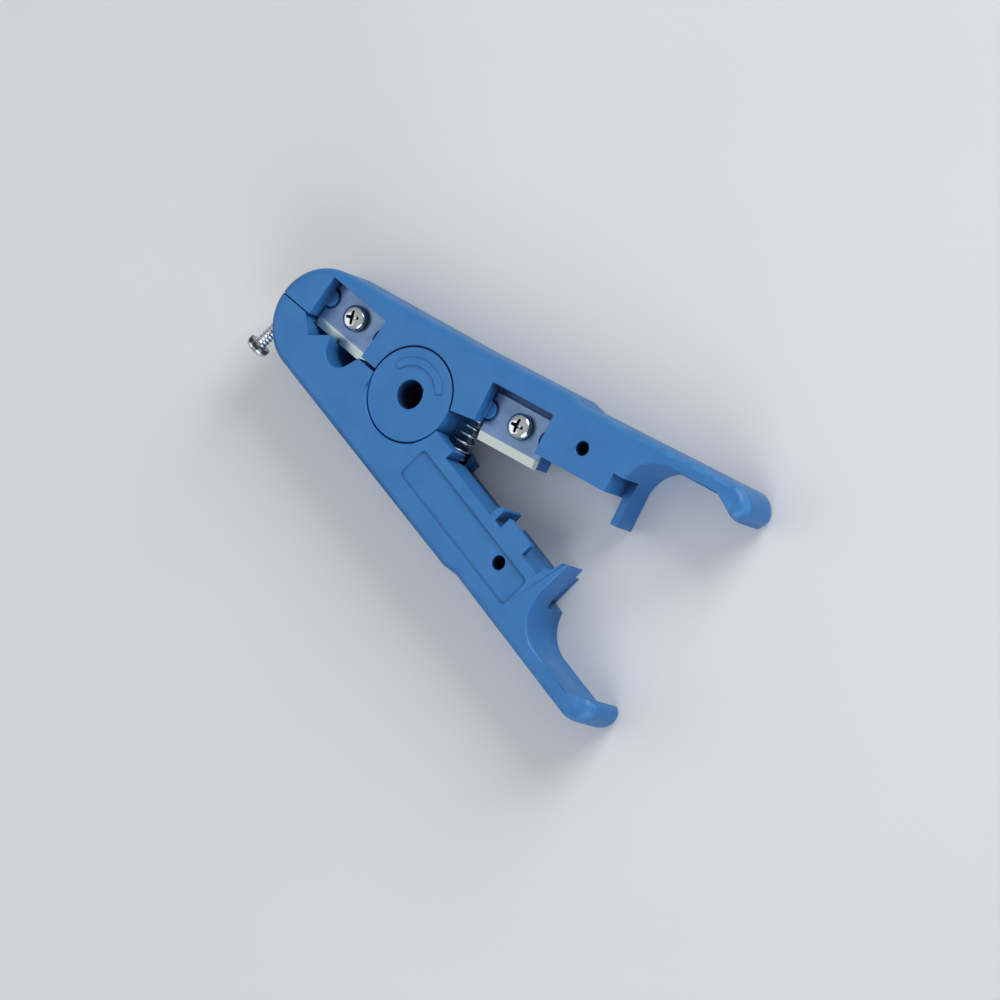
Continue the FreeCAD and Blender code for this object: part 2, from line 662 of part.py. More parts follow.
def knuckle(body, prefix, at_front):
    """Clear the layer of the other handle's disc, then add this handle's own disc."""
    clear = dim.disc_radius + dim.disc_gap
    axis = [(0, 0)]
    if at_front:
        drill(body, prefix + "_clearance", axis, clear, front_base, front_base)
        add_round(body, prefix + "_knuckle", axis, dim.disc_radius, front_base, front - front_base)
    else:
        drill(body, prefix + "_clearance", axis, clear, front, front - rear_top)
        add_round(body, prefix + "_knuckle", axis, dim.disc_radius, 0, rear_top)


def upper_hub(body):
    """Hollow hub with four snap fingers, and the raised rib on its disc."""
    axis = [(0, 0)]
    add_round(body, "hub", axis, dim.hub_radius, 0, front_base)
    add_round(body, "snap_barb", axis, dim.hub_radius + dim.barb_reach, 0, dim.barb_height)
    drill(body, "hub_bore", axis, dim.hub_bore, front, front)
    reach = dim.hub_radius + dim.barb_reach + overrun
    half = dim.hub_slot / 2
    across = [(-reach, -half), (reach, -half), (reach, half), (-reach, half)]
    along = [(half, -reach), (half, reach), (-half, reach), (-half, -reach)]
    mill(body, "slots_across", across, dim.finger_height, dim.finger_height)
    mill(body, "slots_along", along, dim.finger_height, dim.finger_height)
    rib = []
    finish = dim.rib_start + dim.rib_sweep
    for radius, bulge, angles in ((dim.rib_outer, dim.rib_outer, (dim.rib_start, finish)),
                                  (dim.rib_inner, -dim.rib_inner, (finish, dim.rib_start))):
        rib.append((radius * cosine(angles[0]), radius * sine(angles[0]), bulge))
        rib.append((radius * cosine(angles[1]), radius * sine(angles[1])))
    add_block(body, "disc_rib", rib, front, dim.rib_height)


def disc_groove(body):
    """Fine groove that carries the round gap of the disc on over the upper handle."""
    rings = circles(body, "groove_round", [(0, 0)], dim.disc_radius + dim.disc_gap, front)
    rings.addGeometry(Part.Circle(FreeCAD.Vector(), FreeCAD.Vector(0, 0, 1), dim.disc_radius.value), False)
    pin_point(rings, 1, 3, 0, 0)
    pin_radius(rings, 1, dim.disc_radius)
    sink(body, rings, dim.groove_depth, "disc_groove")


def blade_seat(body, prefix, sign, centre, edge, head_room, screw_shift):
    """Recess for a blade with its two locating bosses, the screw hole and the nut pocket."""
    left = centre - dim.blade_length / 2 - dim.recess_gap
    right = centre + dim.blade_length / 2 + dim.recess_gap
    top = edge + dim.blade_height + head_room
    corners = box_corners(left, right, edge - overrun, top, sign)
    mill(body, prefix + "_blade_recess", corners, front, front - blade_back)
    row = edge + dim.blade_hole_height
    bosses = [(left, row), (right, row)]
    hole = (centre + screw_shift, row)
    if sign is not None:
        bosses = [tail_point(x, y, sign) for x, y in bosses]
        hole = tail_point(*hole, sign)
    boss_height = dim.blade_gauge + dim.boss_proud
    add_round(body, prefix + "_locators", bosses, dim.boss_radius, blade_back, boss_height)
    drill(body, prefix + "_screw_hole", [hole], dim.screw_hole, front, front)
    pocket = hexagon(hole, dim.nut_width / 2 + dim.nut_gap)
    mill(body, prefix + "_nut_pocket", pocket, dim.nut_depth, dim.nut_depth)


def hexagon(centre, half_flats):
    """Six corners round a centre, at half the width across the flats."""
    corner = half_flats / cosine(30)
    turns = [60 * step for step in range(6)]
    return [(centre[0] + corner * cosine(turn), centre[1] + corner * sine(turn)) for turn in turns]


def spring_well(body, prefix, sign):
    """Round well that seats one end of the spring, cut along Y from the handle's inner edge."""
    end = dim.spring_length / 2 + dim.well_clear
    level = dim.spring_middle - end * sign
    centre = [(dim.spring_x, dim.rear_layer)]
    well = circles(body, prefix + "_well", centre, dim.well_radius, level, "XZ_Plane")
    sink(body, well, dim.spring_length / 2, prefix + "_spring_well", sign > 0)


nose_edge = -dim.seam_drop - dim.nose_bite


def blade(name, x, y, angle, screw_shift):
    """Flat blade, ground on its front face, with a round notch in each short end."""
    body = new_body(name)
    half = dim.blade_length / 2
    section = [(0, 0), (dim.blade_height, 0), (dim.blade_height, dim.blade_gauge),
               (dim.bevel_height, dim.blade_gauge), (0, dim.edge_land)]
    side = outline(body, name + "_section", section, -half, "YZ_Plane")
    grow(body, side, dim.blade_length, name + "_plate")
    row = dim.blade_hole_height
    reach = half + dim.recess_gap
    ends = [(-reach, row), (reach, row)]
    thick = dim.blade_gauge
    drill(body, name + "_end_notches", ends, dim.boss_radius + dim.boss_gap, thick, thick)
    drill(body, name + "_screw_hole", [(screw_shift, row)], dim.screw_hole, thick, thick)
    place(body, x, y, blade_back, angle)
    return body


def pan_screw(name, length, head, x, y, z, angle, axis=None):
    """Pan head screw with a cross recess: the head's underside is its origin and the shank runs down."""
    body = new_body(name)
    rim = dim.head_height - dim.head_crown
    shank = dim.screw_radius
    side = [(0, -length), (shank - dim.screw_point, -length), (shank, dim.screw_point - length), (shank, 0),
            (head, 0), (head, rim), (head - dim.head_crown, dim.head_height), (0, dim.head_height)]
    profile = outline(body, name + "_side", side, 0, "XZ_Plane")
    turned = body.newObject("PartDesign::Revolution", name + "_turned")
    turned.Profile = profile
    turned.ReferenceAxis = (profile, ["V_Axis"])
    turned.Angle = 360
    doc.recompute()
    half = dim.recess_width / 2
    span = dim.recess_span / 2
    level = dim.head_height
    mill(body, name + "_slot_across", box_corners(-span, span, -half, half), level, dim.recess_depth)
    mill(body, name + "_slot_along", box_corners(-half, half, -span, span), level, dim.recess_depth)
    place(body, x, y, z, angle, axis)
    return body


def hex_nut(name, x, y):
    """Hexagon nut at the top of its pocket."""
    body = new_body(name)
    add_block(body, name + "_block", hexagon((0, 0), dim.nut_width / 2), 0, dim.nut_height)
    drill(body, name + "_bore", [(0, 0)], dim.nut_bore, dim.nut_height, dim.nut_height)
    place(body, x, y, dim.nut_depth - dim.nut_height)
    return body


def return_spring():
    """Compression spring between the two wells."""
    coil = doc.addObject("Part::Helix", "spring_path")
    bind(coil, "Pitch", dim.spring_pitch)
    bind(coil, "Height", dim.spring_length - dim.wire_radius * 2)
    bind(coil, "Radius", dim.coil_radius)
    wire = doc.addObject("Part::Circle", "spring_wire")
    bind(wire, "Radius", dim.wire_radius)
    place(wire, dim.coil_radius, 0, 0, 90, (1, 0, 0))
    spring = doc.addObject("Part::Sweep", "return_spring")
    spring.Label = "return_spring"
    spring.Sections = [wire]
    spring.Spine = (coil, ["Edge1"])
    spring.Solid = True
    spring.Frenet = True
    foot = -dim.spring_middle - dim.spring_length / 2 + dim.wire_radius
    place(spring, dim.spring_x, foot, dim.rear_layer, -90, (1, 0, 0))
    return spring


def build():
    """Every sub-part, root first."""
    row = dim.blade_hole_height
    blade_top = blade_back + dim.blade_gauge
    nose_hole = (-dim.nose_blade_centre, nose_edge + row)
    cutter_foot = tail_point(dim.cutter_centre, -dim.cutter_edge, 1)
    cutter_hole = tail_point(dim.cutter_centre + dim.cutter_screw_shift, row - dim.cutter_edge, 1)
    lean = dim.adjuster_lean
    outward = dim.adjuster_tip + dim.adjuster_length
    adjuster_x = -dim.adjuster_seat - outward * sine(lean)
    adjuster_y = -dim.seam_drop - outward * cosine(lean)
    length = dim.blade_screw_length
    head = dim.head_radius
    return [
        lower_handle(),
        upper_handle(),
        blade("nose_blade", -dim.nose_blade_centre, nose_edge, 0, 0),
        blade("cutter_blade", cutter_foot[0], cutter_foot[1], dim.swing / 2, dim.cutter_screw_shift),
        pan_screw("nose_blade_screw", length, head, *nose_hole, blade_top, dim.nose_screw_turn),
        pan_screw("cutter_blade_screw", length, head, *cutter_hole, blade_top, dim.cutter_screw_turn),
        hex_nut("nose_blade_nut", *nose_hole),
        hex_nut("cutter_blade_nut", *cutter_hole),
        pan_screw("adjusting_screw", dim.adjuster_length, dim.adjuster_head, adjuster_x, adjuster_y,
                  front - dim.adjuster_depth, 90, (cosine(lean), -sine(lean), 0)),
        return_spring(),
    ]


parts = build()
doc.recompute()
for item in doc.Objects:
    if "Invalid" in item.State or "Error" in item.State:
        raise RuntimeError(f"{item.Name} failed: {item.State}")
for part in parts:
    if part.Shape.isNull() or not part.Shape.isValid():
        raise RuntimeError(f"{part.Label} has no valid shape")

os.makedirs("parts", exist_ok=True)
for part in parts:
    part.Shape.exportStep(f"parts/{part.Label}.step")
    print(part.Label, len(part.Shape.Solids), round(part.Shape.Volume, 1))
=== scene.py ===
"""Finish of a pocket wire stripper: moulded shells, ground blades, screws, nuts and the return spring."""

import json
import math

import bmesh
import bpy
import numpy as np
from mathutils import Matrix, Vector
from mathutils.bvhtree import BVHTree


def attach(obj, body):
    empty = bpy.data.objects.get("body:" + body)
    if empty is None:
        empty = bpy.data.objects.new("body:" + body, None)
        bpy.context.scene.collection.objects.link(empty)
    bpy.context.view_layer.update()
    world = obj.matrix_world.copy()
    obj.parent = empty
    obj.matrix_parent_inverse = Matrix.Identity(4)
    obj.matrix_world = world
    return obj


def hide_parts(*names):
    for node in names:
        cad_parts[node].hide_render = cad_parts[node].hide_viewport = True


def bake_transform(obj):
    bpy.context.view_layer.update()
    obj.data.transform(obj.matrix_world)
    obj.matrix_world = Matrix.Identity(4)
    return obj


bl_info = {
    "name": "Wire Stripper",
    "version": (1, 0, 0),
    "blender": (4, 5, 0),
    "location": "3D View > Sidebar > Wire Stripper",
    "description": "Moulded shells, ground blades, screws, nuts and spring of a pocket wire stripper",
    "category": "Object",
}

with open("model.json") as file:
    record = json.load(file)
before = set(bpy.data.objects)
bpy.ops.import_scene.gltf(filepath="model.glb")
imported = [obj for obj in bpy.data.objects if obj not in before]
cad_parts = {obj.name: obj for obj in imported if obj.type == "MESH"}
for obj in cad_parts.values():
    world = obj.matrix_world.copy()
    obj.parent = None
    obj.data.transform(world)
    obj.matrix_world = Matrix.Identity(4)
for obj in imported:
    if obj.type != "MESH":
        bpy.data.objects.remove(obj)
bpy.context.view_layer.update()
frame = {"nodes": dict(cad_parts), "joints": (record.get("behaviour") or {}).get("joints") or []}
NODES = frame["nodes"]
JOINTS = {joint["name"]: joint for joint in frame["joints"]}
UPRIGHT = np.identity(3)


def turned(angle):
    """Three directions turned by an angle about z, in rows."""
    return np.array([[math.cos(angle), math.sin(angle), 0.0], [-math.sin(angle), math.cos(angle), 0.0],
                     [0.0, 0.0, 1.0]])


def read(items, label, width=1, kind=float):
    """One property of a mesh's vertices, faces or corners, in rows of width when that is over 1."""
    values = np.empty(len(items) * width, dtype=kind)
    items.foreach_get(label, values)
    return values.reshape(-1, width) if width > 1 else values


def span(node, basis=UPRIGHT):
    """Lowest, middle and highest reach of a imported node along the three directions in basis."""
    along = read(NODES[node].data.vertices, "co", 3) @ basis.T
    low, high = along.min(axis=0), along.max(axis=0)
    return low, (low + high) / 2, high


def srgb(red, green, blue):
    """Linear colour of a screen colour given in parts of 255."""
    screen = np.array([red, green, blue]) / 255.0
    return tuple(np.where(screen <= 0.04045, screen / 12.92, ((screen + 0.055) / 1.055) ** 2.4))


HALF_SWING = math.radians(JOINTS["handle_hinge"]["range_deg"][1]) / 2
SLIDE = np.array(JOINTS["adjuster_travel"]["axis"])
TURNED = turned(HALF_SWING)
OUTWARD = np.array([np.cross(-SLIDE, UPRIGHT[2]), UPRIGHT[2], -SLIDE])
BLADE, NUT = (span(node)[2] - span(node)[0] for node in ("nose_blade", "nose_blade_nut"))


def quantity(name, description, default, low=0.0, **options):
    """A number, not below low."""
    return bpy.props.FloatProperty(name=name, description=description, default=float(default), min=low,
                                   **options)


def metres(name, description, default, step=0.01):
    """A length with room for a hundredth of a millimetre."""
    return quantity(name, description, default, unit="LENGTH", precision=5, step=step)


def tint(name, description, *screen):
    """A linear colour, given as a screen colour in parts of 255."""
    return bpy.props.FloatVectorProperty(name=name, description=description, default=srgb(*screen), size=3,
                                         min=0.0, max=1.0, subtype="COLOR")


class ShellSettings(bpy.types.PropertyGroup):
    """Sizes and colours of the two moulded shells."""

    edge_round: metres("Edge round", "Rounding of the moulded edges", 0.00030)
    least_round: metres("Least round", "Rounding kept where an edge has little room", 0.00004)
    tip_round: metres("Tip round", "Rounding of the handles' ends through their thickness", 0.0026)
    tip_corner: metres("Tip corner", "Rounding of the ends' corners through their thickness", 0.0018)
    plastic: tint("Plastic", "Colour of the moulded plastic", 48, 119, 184)
    deep_plastic: tint("Deep plastic", "Darker tint that clouds the plastic", 38, 104, 170)
    # rubbed wear plus a painted highlight along the outer edges
    worn_and_highlit_plastic: tint("Worn plastic", "Colour of rubbed edges", 92, 156, 220)
    # painted shade in the inner corners and creases
    corner_shade_plastic: tint("Corner plastic", "Colour down in the inner corners", 16, 40, 84)
    # painted shade deep in holes and pits
    hollow_shade_plastic: tint("Hollow plastic", "Colour deep in holes and pits", 14, 24, 62)
    gloss_loss: quantity("Roughness", "Roughness of the satin plastic", 0.42, max=1.0, subtype="FACTOR")
    grain_size: metres("Grain size", "Size of the moulded grain", 0.00030)


class BladeSettings(bpy.types.PropertyGroup):
    """Sizes and colours of the two blades."""

    length: metres("Length", "Length of a blade", BLADE[0])
    height: metres("Height", "Height of a blade", BLADE[1])
    gauge: metres("Gauge", "Thickness of a blade", BLADE[2])
    bevel: metres("Ground bevel", "Height of the ground bevel", 0.0020)
    land: metres("Edge land", "Thickness left at the cutting edge", 0.00008)
    hole_height: metres("Hole height", "Cutting edge to the screw hole", 0.0066)
    hole: metres("Hole", "Radius of the screw hole", 0.0016)
    hole_shift: metres("Hole shift", "Screw hole of the cutter behind its middle", 0.0007)
    notch: metres("Notch", "Radius of the round notches in the short ends", 0.00248)
    end_strip: metres("End strip", "Width of the cutter's ground end beside its bevel", 0.0009)
    notch_centre: metres("Notch centre", "Centre of a notch beyond the short end", 0.0003)
    burr: metres("Edge break", "Small chamfer along every edge", 0.00005)
    # steel grey tinted blue as a painted reflection
    steel: tint("Steel", "Colour of the blade steel", 130, 157, 198)
    # also laid on the blades' short end faces as a painted glint
    bevel_steel: tint("Ground steel", "Colour of the freshly ground bevel", 198, 210, 206)


class ScrewSettings(bpy.types.PropertyGroup):
    """Sizes and colours of the three screws."""

    shank: metres("Shank", "Radius over the thread", 0.00145)
    thread_depth: metres("Thread depth", "Depth of the thread", 0.00026)
    blade_pitch: metres("Blade screw pitch", "Pitch of the blade screws", 0.0005)
    adjuster_pitch: metres("Adjuster pitch", "Pitch of the adjusting screw", 0.0008)
    head: metres("Blade screw head", "Radius of the blade screws' heads", 0.0028)
    adjuster_head: metres("Adjuster head", "Radius of the adjusting screw's head", 0.0026)
    head_height: metres("Head height", "Height of a pan head", 0.0022)
    crown: metres("Crown", "Height of the domed part of a head", 0.00125)
    wing_width: metres("Recess wing", "Width of a wing of the cross recess", 0.00080)
    wing_span: metres("Recess span", "Span of the cross recess", 0.0031)
    recess_depth: metres("Recess depth", "Depth of the cross recess", 0.0012)
    point: metres("Point", "Chamfer at the shank's end", 0.0004)
    nose_turn: quantity("Nose screw turn", "Turn of the nose screw's recess", math.radians(24),
                        unit="ROTATION")
    cutter_turn: quantity("Cutter screw turn", "Turn of the cutter screw's recess", math.radians(12),
                          unit="ROTATION")
    chrome: tint("Plating", "Colour of the bright plating", 222, 226, 230)
    # painted shade in the cross recess and a painted dark reflection round the head's foot
    painted_shade: tint("Recess grime", "Dark film in the cross recess", 16, 18, 24)


class NutSettings(bpy.types.PropertyGroup):
    """Sizes and colours of the two nuts."""

    flats: metres("Across flats", "Width across the flats", NUT[1])
    height: metres("Height", "Height of a nut", NUT[2])
    bore: metres("Bore", "Radius of the bore at the thread's crest", 0.0015)
    thread_depth: metres("Thread depth", "Depth of the bore's thread", 0.0002)
    pitch: metres("Pitch", "Pitch of the bore's thread", 0.0005)
    zinc: tint("Zinc", "Colour of the zinc plating", 176, 176, 170)


class SpringSettings(bpy.types.PropertyGroup):
    """Sizes and colours of the return spring."""

    wire: metres("Wire", "Radius of the wire", 0.00033)
    coil: metres("Coil", "Mean radius of the coil", 0.0022)
    closed_turns: quantity("Closed turns", "Turns laid close at each end", 1.0)
    open_turns: quantity("Open turns", "Turns between the closed ones", 8.0, low=1.0)
    wire_steel: tint("Spring wire", "Colour of the drawn wire", 196, 200, 206)


class StageSettings(bpy.types.PropertyGroup):
    """Floor, light and camera."""

    floor: tint("Floor", "Colour of the plain floor", 226, 228, 230)
    floor_bounce: tint("Floor bounce", "Colour that the floor throws back on the tool", 110, 112, 116)
    floor_size: metres("Floor size", "Side of the plain floor", 6.0, step=10)
    sky: quantity("Sky", "Strength of the even sky light", 0.36)
    key: quantity("Key", "Power of the soft key lamp", 9.0, unit="POWER")
    fill: quantity("Fill", "Power of the two soft fill lamps", 1.0, unit="POWER")
    lens: quantity("Lens", "Focal length of the camera", 260.9, unit="CAMERA")


# Meshes

def quads_between(rows, columns, wrap_rows):
    """Vertex numbers of the quads of a grid whose columns run round, and whose rows do if wrap_rows."""
    number = np.arange(rows * columns).reshape(rows, columns)
    after = np.roll(number, -1, axis=1)
    quads = np.stack([number, after, np.roll(after, -1, axis=0), np.roll(number, -1, axis=0)], axis=-1)
    if not wrap_rows:
        quads = quads[:-1]
    return quads.reshape(-1, 4)


def volume_of(points, quads):
    """Signed volume inside quads: a sixth of the sum of a.(b x c) over their two triangles."""
    corner = points[quads]
    halves = np.concatenate([corner[:, [0, 1, 2]], corner[:, [0, 2, 3]]])
    return np.einsum("ij,ij->", halves[:, 0], np.cross(halves[:, 1], halves[:, 2])) / 6


def skin(name, grid, place, wrap_rows=False):
    """Mesh of a grid of points given in a piece's own directions.

    The columns run round. The rows run round too, or else each end row is drawn in to a pole at its mean,
    so the mesh is closed. The faces point outwards. place is the piece's origin and its three directions.
    """
    origin, basis = place
    rows, columns = grid.shape[:2]
    points = grid.reshape(-1, 3)
    quads = quads_between(rows, columns, wrap_rows)
    turn = -1
    if volume_of(points - points.mean(axis=0), quads) < 0:
        quads, turn = quads[:, ::-1], 1
    faces = quads.tolist()
    if not wrap_rows:
        poles = np.stack([grid[0].mean(axis=0), grid[-1].mean(axis=0)])
        first = np.arange(columns)
        last = first + (rows - 1) * columns
        low_fan = np.stack([np.full(columns, rows * columns), first, np.roll(first, -turn)], axis=-1)
        high_fan = np.stack([np.full(columns, rows * columns + 1), np.roll(last, -turn), last], axis=-1)
        faces += low_fan.tolist() + high_fan.tolist()
        points = np.concatenate([points, poles])
    mesh = bpy.data.meshes.new(name)
    mesh.from_pydata((origin + points @ basis).tolist(), [], faces)
    mesh.validate()
    mesh.update()
    return mesh


def add_object(name, data):
    """A new object in the scene's own collection."""
    item = bpy.data.objects.new(name, data)
    bpy.context.scene.collection.objects.link(item)
    return item


def applied(item, name):
    """Mesh of an object with its modifiers applied."""
    graph = bpy.context.evaluated_depsgraph_get()
    mesh = bpy.data.meshes.new_from_object(item.evaluated_get(graph), depsgraph=graph)
    mesh.name = name
    return mesh


def finish_piece(name, mesh, materials, body, nodes, sharp):
    """Link a mesh as a piece of its body, if it has just one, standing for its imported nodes.

    Its shading is smooth except where faces turn by more than sharp degrees.
    """
    mesh.shade_smooth()
    mesh.set_sharp_from_angle(angle=math.radians(sharp))
    piece = add_object(name, mesh)
    for material in materials:
        mesh.materials.append(material)
    if body:
        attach(piece, body)
    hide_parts(*nodes)
    return piece


def smooth_step(share):
    """Share taken smoothly from 0 to 1: 3 s^2 - 2 s^3."""
    share = np.clip(share, 0.0, 1.0)
    return share * share * (3 - 2 * share)


SHARP_TURN = math.radians(28)  # faces that turn by more meet in an edge to round
SHARP_SHARE, SMOOTH_SHARE = 0.42, 0.85  # shares of a face's width that a rounding may take
SLENDER = 0.00012  # area over longest side, in metres, of a fillet's slender faces
EASE = 1.6  # most by which a rounding is wider than the next one along
FLAT_AREA, DENT = 2e-5, 4e-6  # faces at least this large have dents over this deep filled
MIDDLE = 2e-6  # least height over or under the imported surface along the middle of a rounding
SEAM_END, SEAM_HALF = -0.008, 0.0006  # the nose's split line: its end along x and half its width
FILLETS_FROM = 0.056  # x from which the handles' edges have fillets


def edge_room(edge, face):
    """Room within a face for an edge's rounding, square to the edge from its middle."""
    start, end = (vert.co for vert in edge.verts)
    middle = (start + end) / 2
    along = (end - start).normalized()
    inward = face.normal.cross(along)
    loop = next(item for item in face.loops if item.edge == edge)
    if loop.vert != edge.verts[0]:
        inward.negate()
    best = 1.0
    for other in face.edges:
        if other == edge:
            continue
        from_start, from_end = (vert.co - middle for vert in other.verts)
        side_start, side_end = from_start.dot(along), from_end.dot(along)
        if side_start * side_end > 0 or abs(side_end - side_start) < 1e-9:
            continue
        share = side_start / (side_start - side_end)
        reach = from_start.dot(inward) * (1 - share) + from_end.dot(inward) * share
        if reach > 1e-7:
            turn = other.calc_face_angle(0.0) if other.is_manifold else 0.0
            best = min(best, reach * (SHARP_SHARE if turn > SHARP_TURN else SMOOTH_SHARE))
    return best


def softened_copy(node, name, wide, least):
    """Copy of a moulded node with every sharp edge rounded as far as its faces have room.

    Flat areas are joined to single faces first. An edge's rounding is wide or what fits, but least on the
    split line and beside slender faces, and none beside those of the tips' fillets. Vertices that it
    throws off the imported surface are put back.
    """
    work = bmesh.new()
    work.from_mesh(NODES[node].data)
    bmesh.ops.remove_doubles(work, verts=work.verts, dist=2e-6)
    bmesh.ops.dissolve_limit(work, angle_limit=math.radians(0.8), verts=work.verts, edges=work.edges)
    bmesh.ops.dissolve_degenerate(work, dist=2e-5, edges=work.edges)
    surface = BVHTree.FromBMesh(work)
    weights = work.edges.layers.float.new("bevel_weight_edge")
    slender = {vert for face in work.faces for vert in face.verts
               if face.calc_area() < SLENDER * max(edge.calc_length() for edge in face.edges)}
    room = {}
    for edge in work.edges:
        if edge.is_manifold and edge.calc_face_angle(0.0) > SHARP_TURN:
            middle = (edge.verts[0].co + edge.verts[1].co) / 2
            beside_slender = not slender.isdisjoint(edge.verts)
            if beside_slender and middle.x > FILLETS_FROM:
                continue
            if beside_slender or middle.x < SEAM_END and abs(middle.y) < SEAM_HALF:
                room[edge] = least
            else:
                room[edge] = min(wide, *(edge_room(edge, face) for face in edge.link_faces))
    for _ in range(3):
        room = {edge: min(own, EASE * min(room[other] for vert in edge.verts for other in vert.link_edges
                                          if other in room)) for edge, own in room.items()}
    for edge, own in room.items():
        edge[weights] = max(own, least) / wide
    mesh = bpy.data.meshes.new(name)
    work.to_mesh(mesh)
    work.free()
    holder = add_object(name + "_work", mesh)
    rounding = holder.modifiers.new("rounding", "BEVEL")
    rounding.limit_method = "WEIGHT"
    rounding.width = wide
    rounding.segments = 2
    rounding.use_clamp_overlap = False
    rounding.miter_outer = "MITER_ARC"
    rounding.material = 1
    rounded = applied(holder, name)
    bpy.data.objects.remove(holder)
    bpy.data.meshes.remove(mesh)
    side = np.zeros(len(rounded.vertices))
    low, _, high = (reach[2] for reach in span(node))
    for number, vertex in enumerate(rounded.vertices):
        nearest, normal, _, off = surface.find_nearest(vertex.co)
        side[number] = (vertex.co - nearest).dot(normal)
        if off > wide * SHARP_SHARE:
            vertex.co = nearest
    for face in rounded.polygons:
        if face.material_index == 0 and face.area > FLAT_AREA:
            points = np.array([rounded.vertices[number].co for number in face.vertices])
            heights = points @ np.array(face.normal)
            for number, rise in zip(face.vertices, heights - np.median(heights)):
                if rise < -DENT:
                    rounded.vertices[number].co -= face.normal * float(rise)
    for vertex in rounded.vertices:
        vertex.co.z = min(max(vertex.co.z, low), high)
    mark_roundings(rounded, side)
    return rounded


def mark_roundings(mesh, side):
    """Point attributes rim and crease: 1 along the middle of an outer or an inner rounding, else 0.

    A vertex lies along the middle of a rounding when it touches rounding faces alone. It is on an outer
    one when side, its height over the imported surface, is below 0. The tips' fillets count as outer ones.
    """
    faces = read(mesh.polygons, "material_index", kind=np.int32)
    sizes = read(mesh.polygons, "loop_total", kind=np.int32)
    corner = read(mesh.loops, "vertex_index", kind=np.int32)
    steep = np.abs(read(mesh.vertices, "normal", 3)[:, 2])
    # the tips' fillets join the rims, so the painted highlight along the rims runs on over them
    tail = (read(mesh.vertices, "co", 3)[:, 0] > FILLETS_FROM) & (steep > 0.4) & (steep < 0.92)
    middle = np.ones(len(mesh.vertices))
    middle[corner[np.repeat(faces, sizes) == 0]] = 0.0
    # rim lightens edges as rubbed wear and a painted highlight; crease darkens inner roundings as painted
    # shade
    for label, share in (("rim", np.maximum(middle * (side < -MIDDLE), tail)),
                         ("crease", middle * (side > MIDDLE))):
        mesh.attributes.new(label, "FLOAT", "POINT").data.foreach_set("value", share)
    mesh.polygons.foreach_set("material_index", np.zeros(len(mesh.polygons), dtype=np.int32))


def settle_normals(piece):
    """Apply a piece's even shading, and give every level face its own normal at all its corners."""
    mesh = applied(piece, piece.name)
    sizes = read(mesh.polygons, "loop_total", kind=np.int32)
    own = np.repeat(read(mesh.polygons, "normal", 3), sizes, axis=0)
    level = np.abs(own[:, 2:]) > 0.9998
    mesh.normals_split_custom_set(np.where(level, own, read(mesh.corner_normals, "vector", 3)).tolist())
    piece.modifiers.clear()
    piece.data = mesh


def round_tip(mesh, along, radius):
    """Round off a handle's end through its thickness.

    The mesh is cut square to the handle at stations u = radius sin(k pi / 18) along the last radius, and
    every vertex moves towards the middle layer by the share (radius - sqrt(radius^2 - u^2)) / half.
    """
    along = Vector(along)
    work = bmesh.new()
    work.from_mesh(mesh)
    end = max(vertex.co.dot(along) for vertex in work.verts)
    start = end - radius
    for step in range(9):
        station = start + radius * math.sin(step * math.pi / 18)
        near = [vertex for vertex in work.verts if vertex.co.dot(along) > start - 0.004]
        parts = {part for vertex in near for part in (*vertex.link_faces, *vertex.link_edges)}
        bmesh.ops.bisect_plane(work, geom=near + list(parts), dist=1e-7, plane_co=along * station,
                               plane_no=along)
    work.to_mesh(mesh)
    work.free()
    points = read(mesh.vertices, "co", 3)
    half = points[:, 2].max() / 2
    reach = np.clip(points @ np.array(along) - start, 0, radius)
    fall = radius - np.sqrt(radius ** 2 - reach ** 2)
    points[:, 2] = half + (points[:, 2] - half) * (1 - fall / half)
    mesh.vertices.foreach_set("co", points.reshape(-1))
    mesh.update()


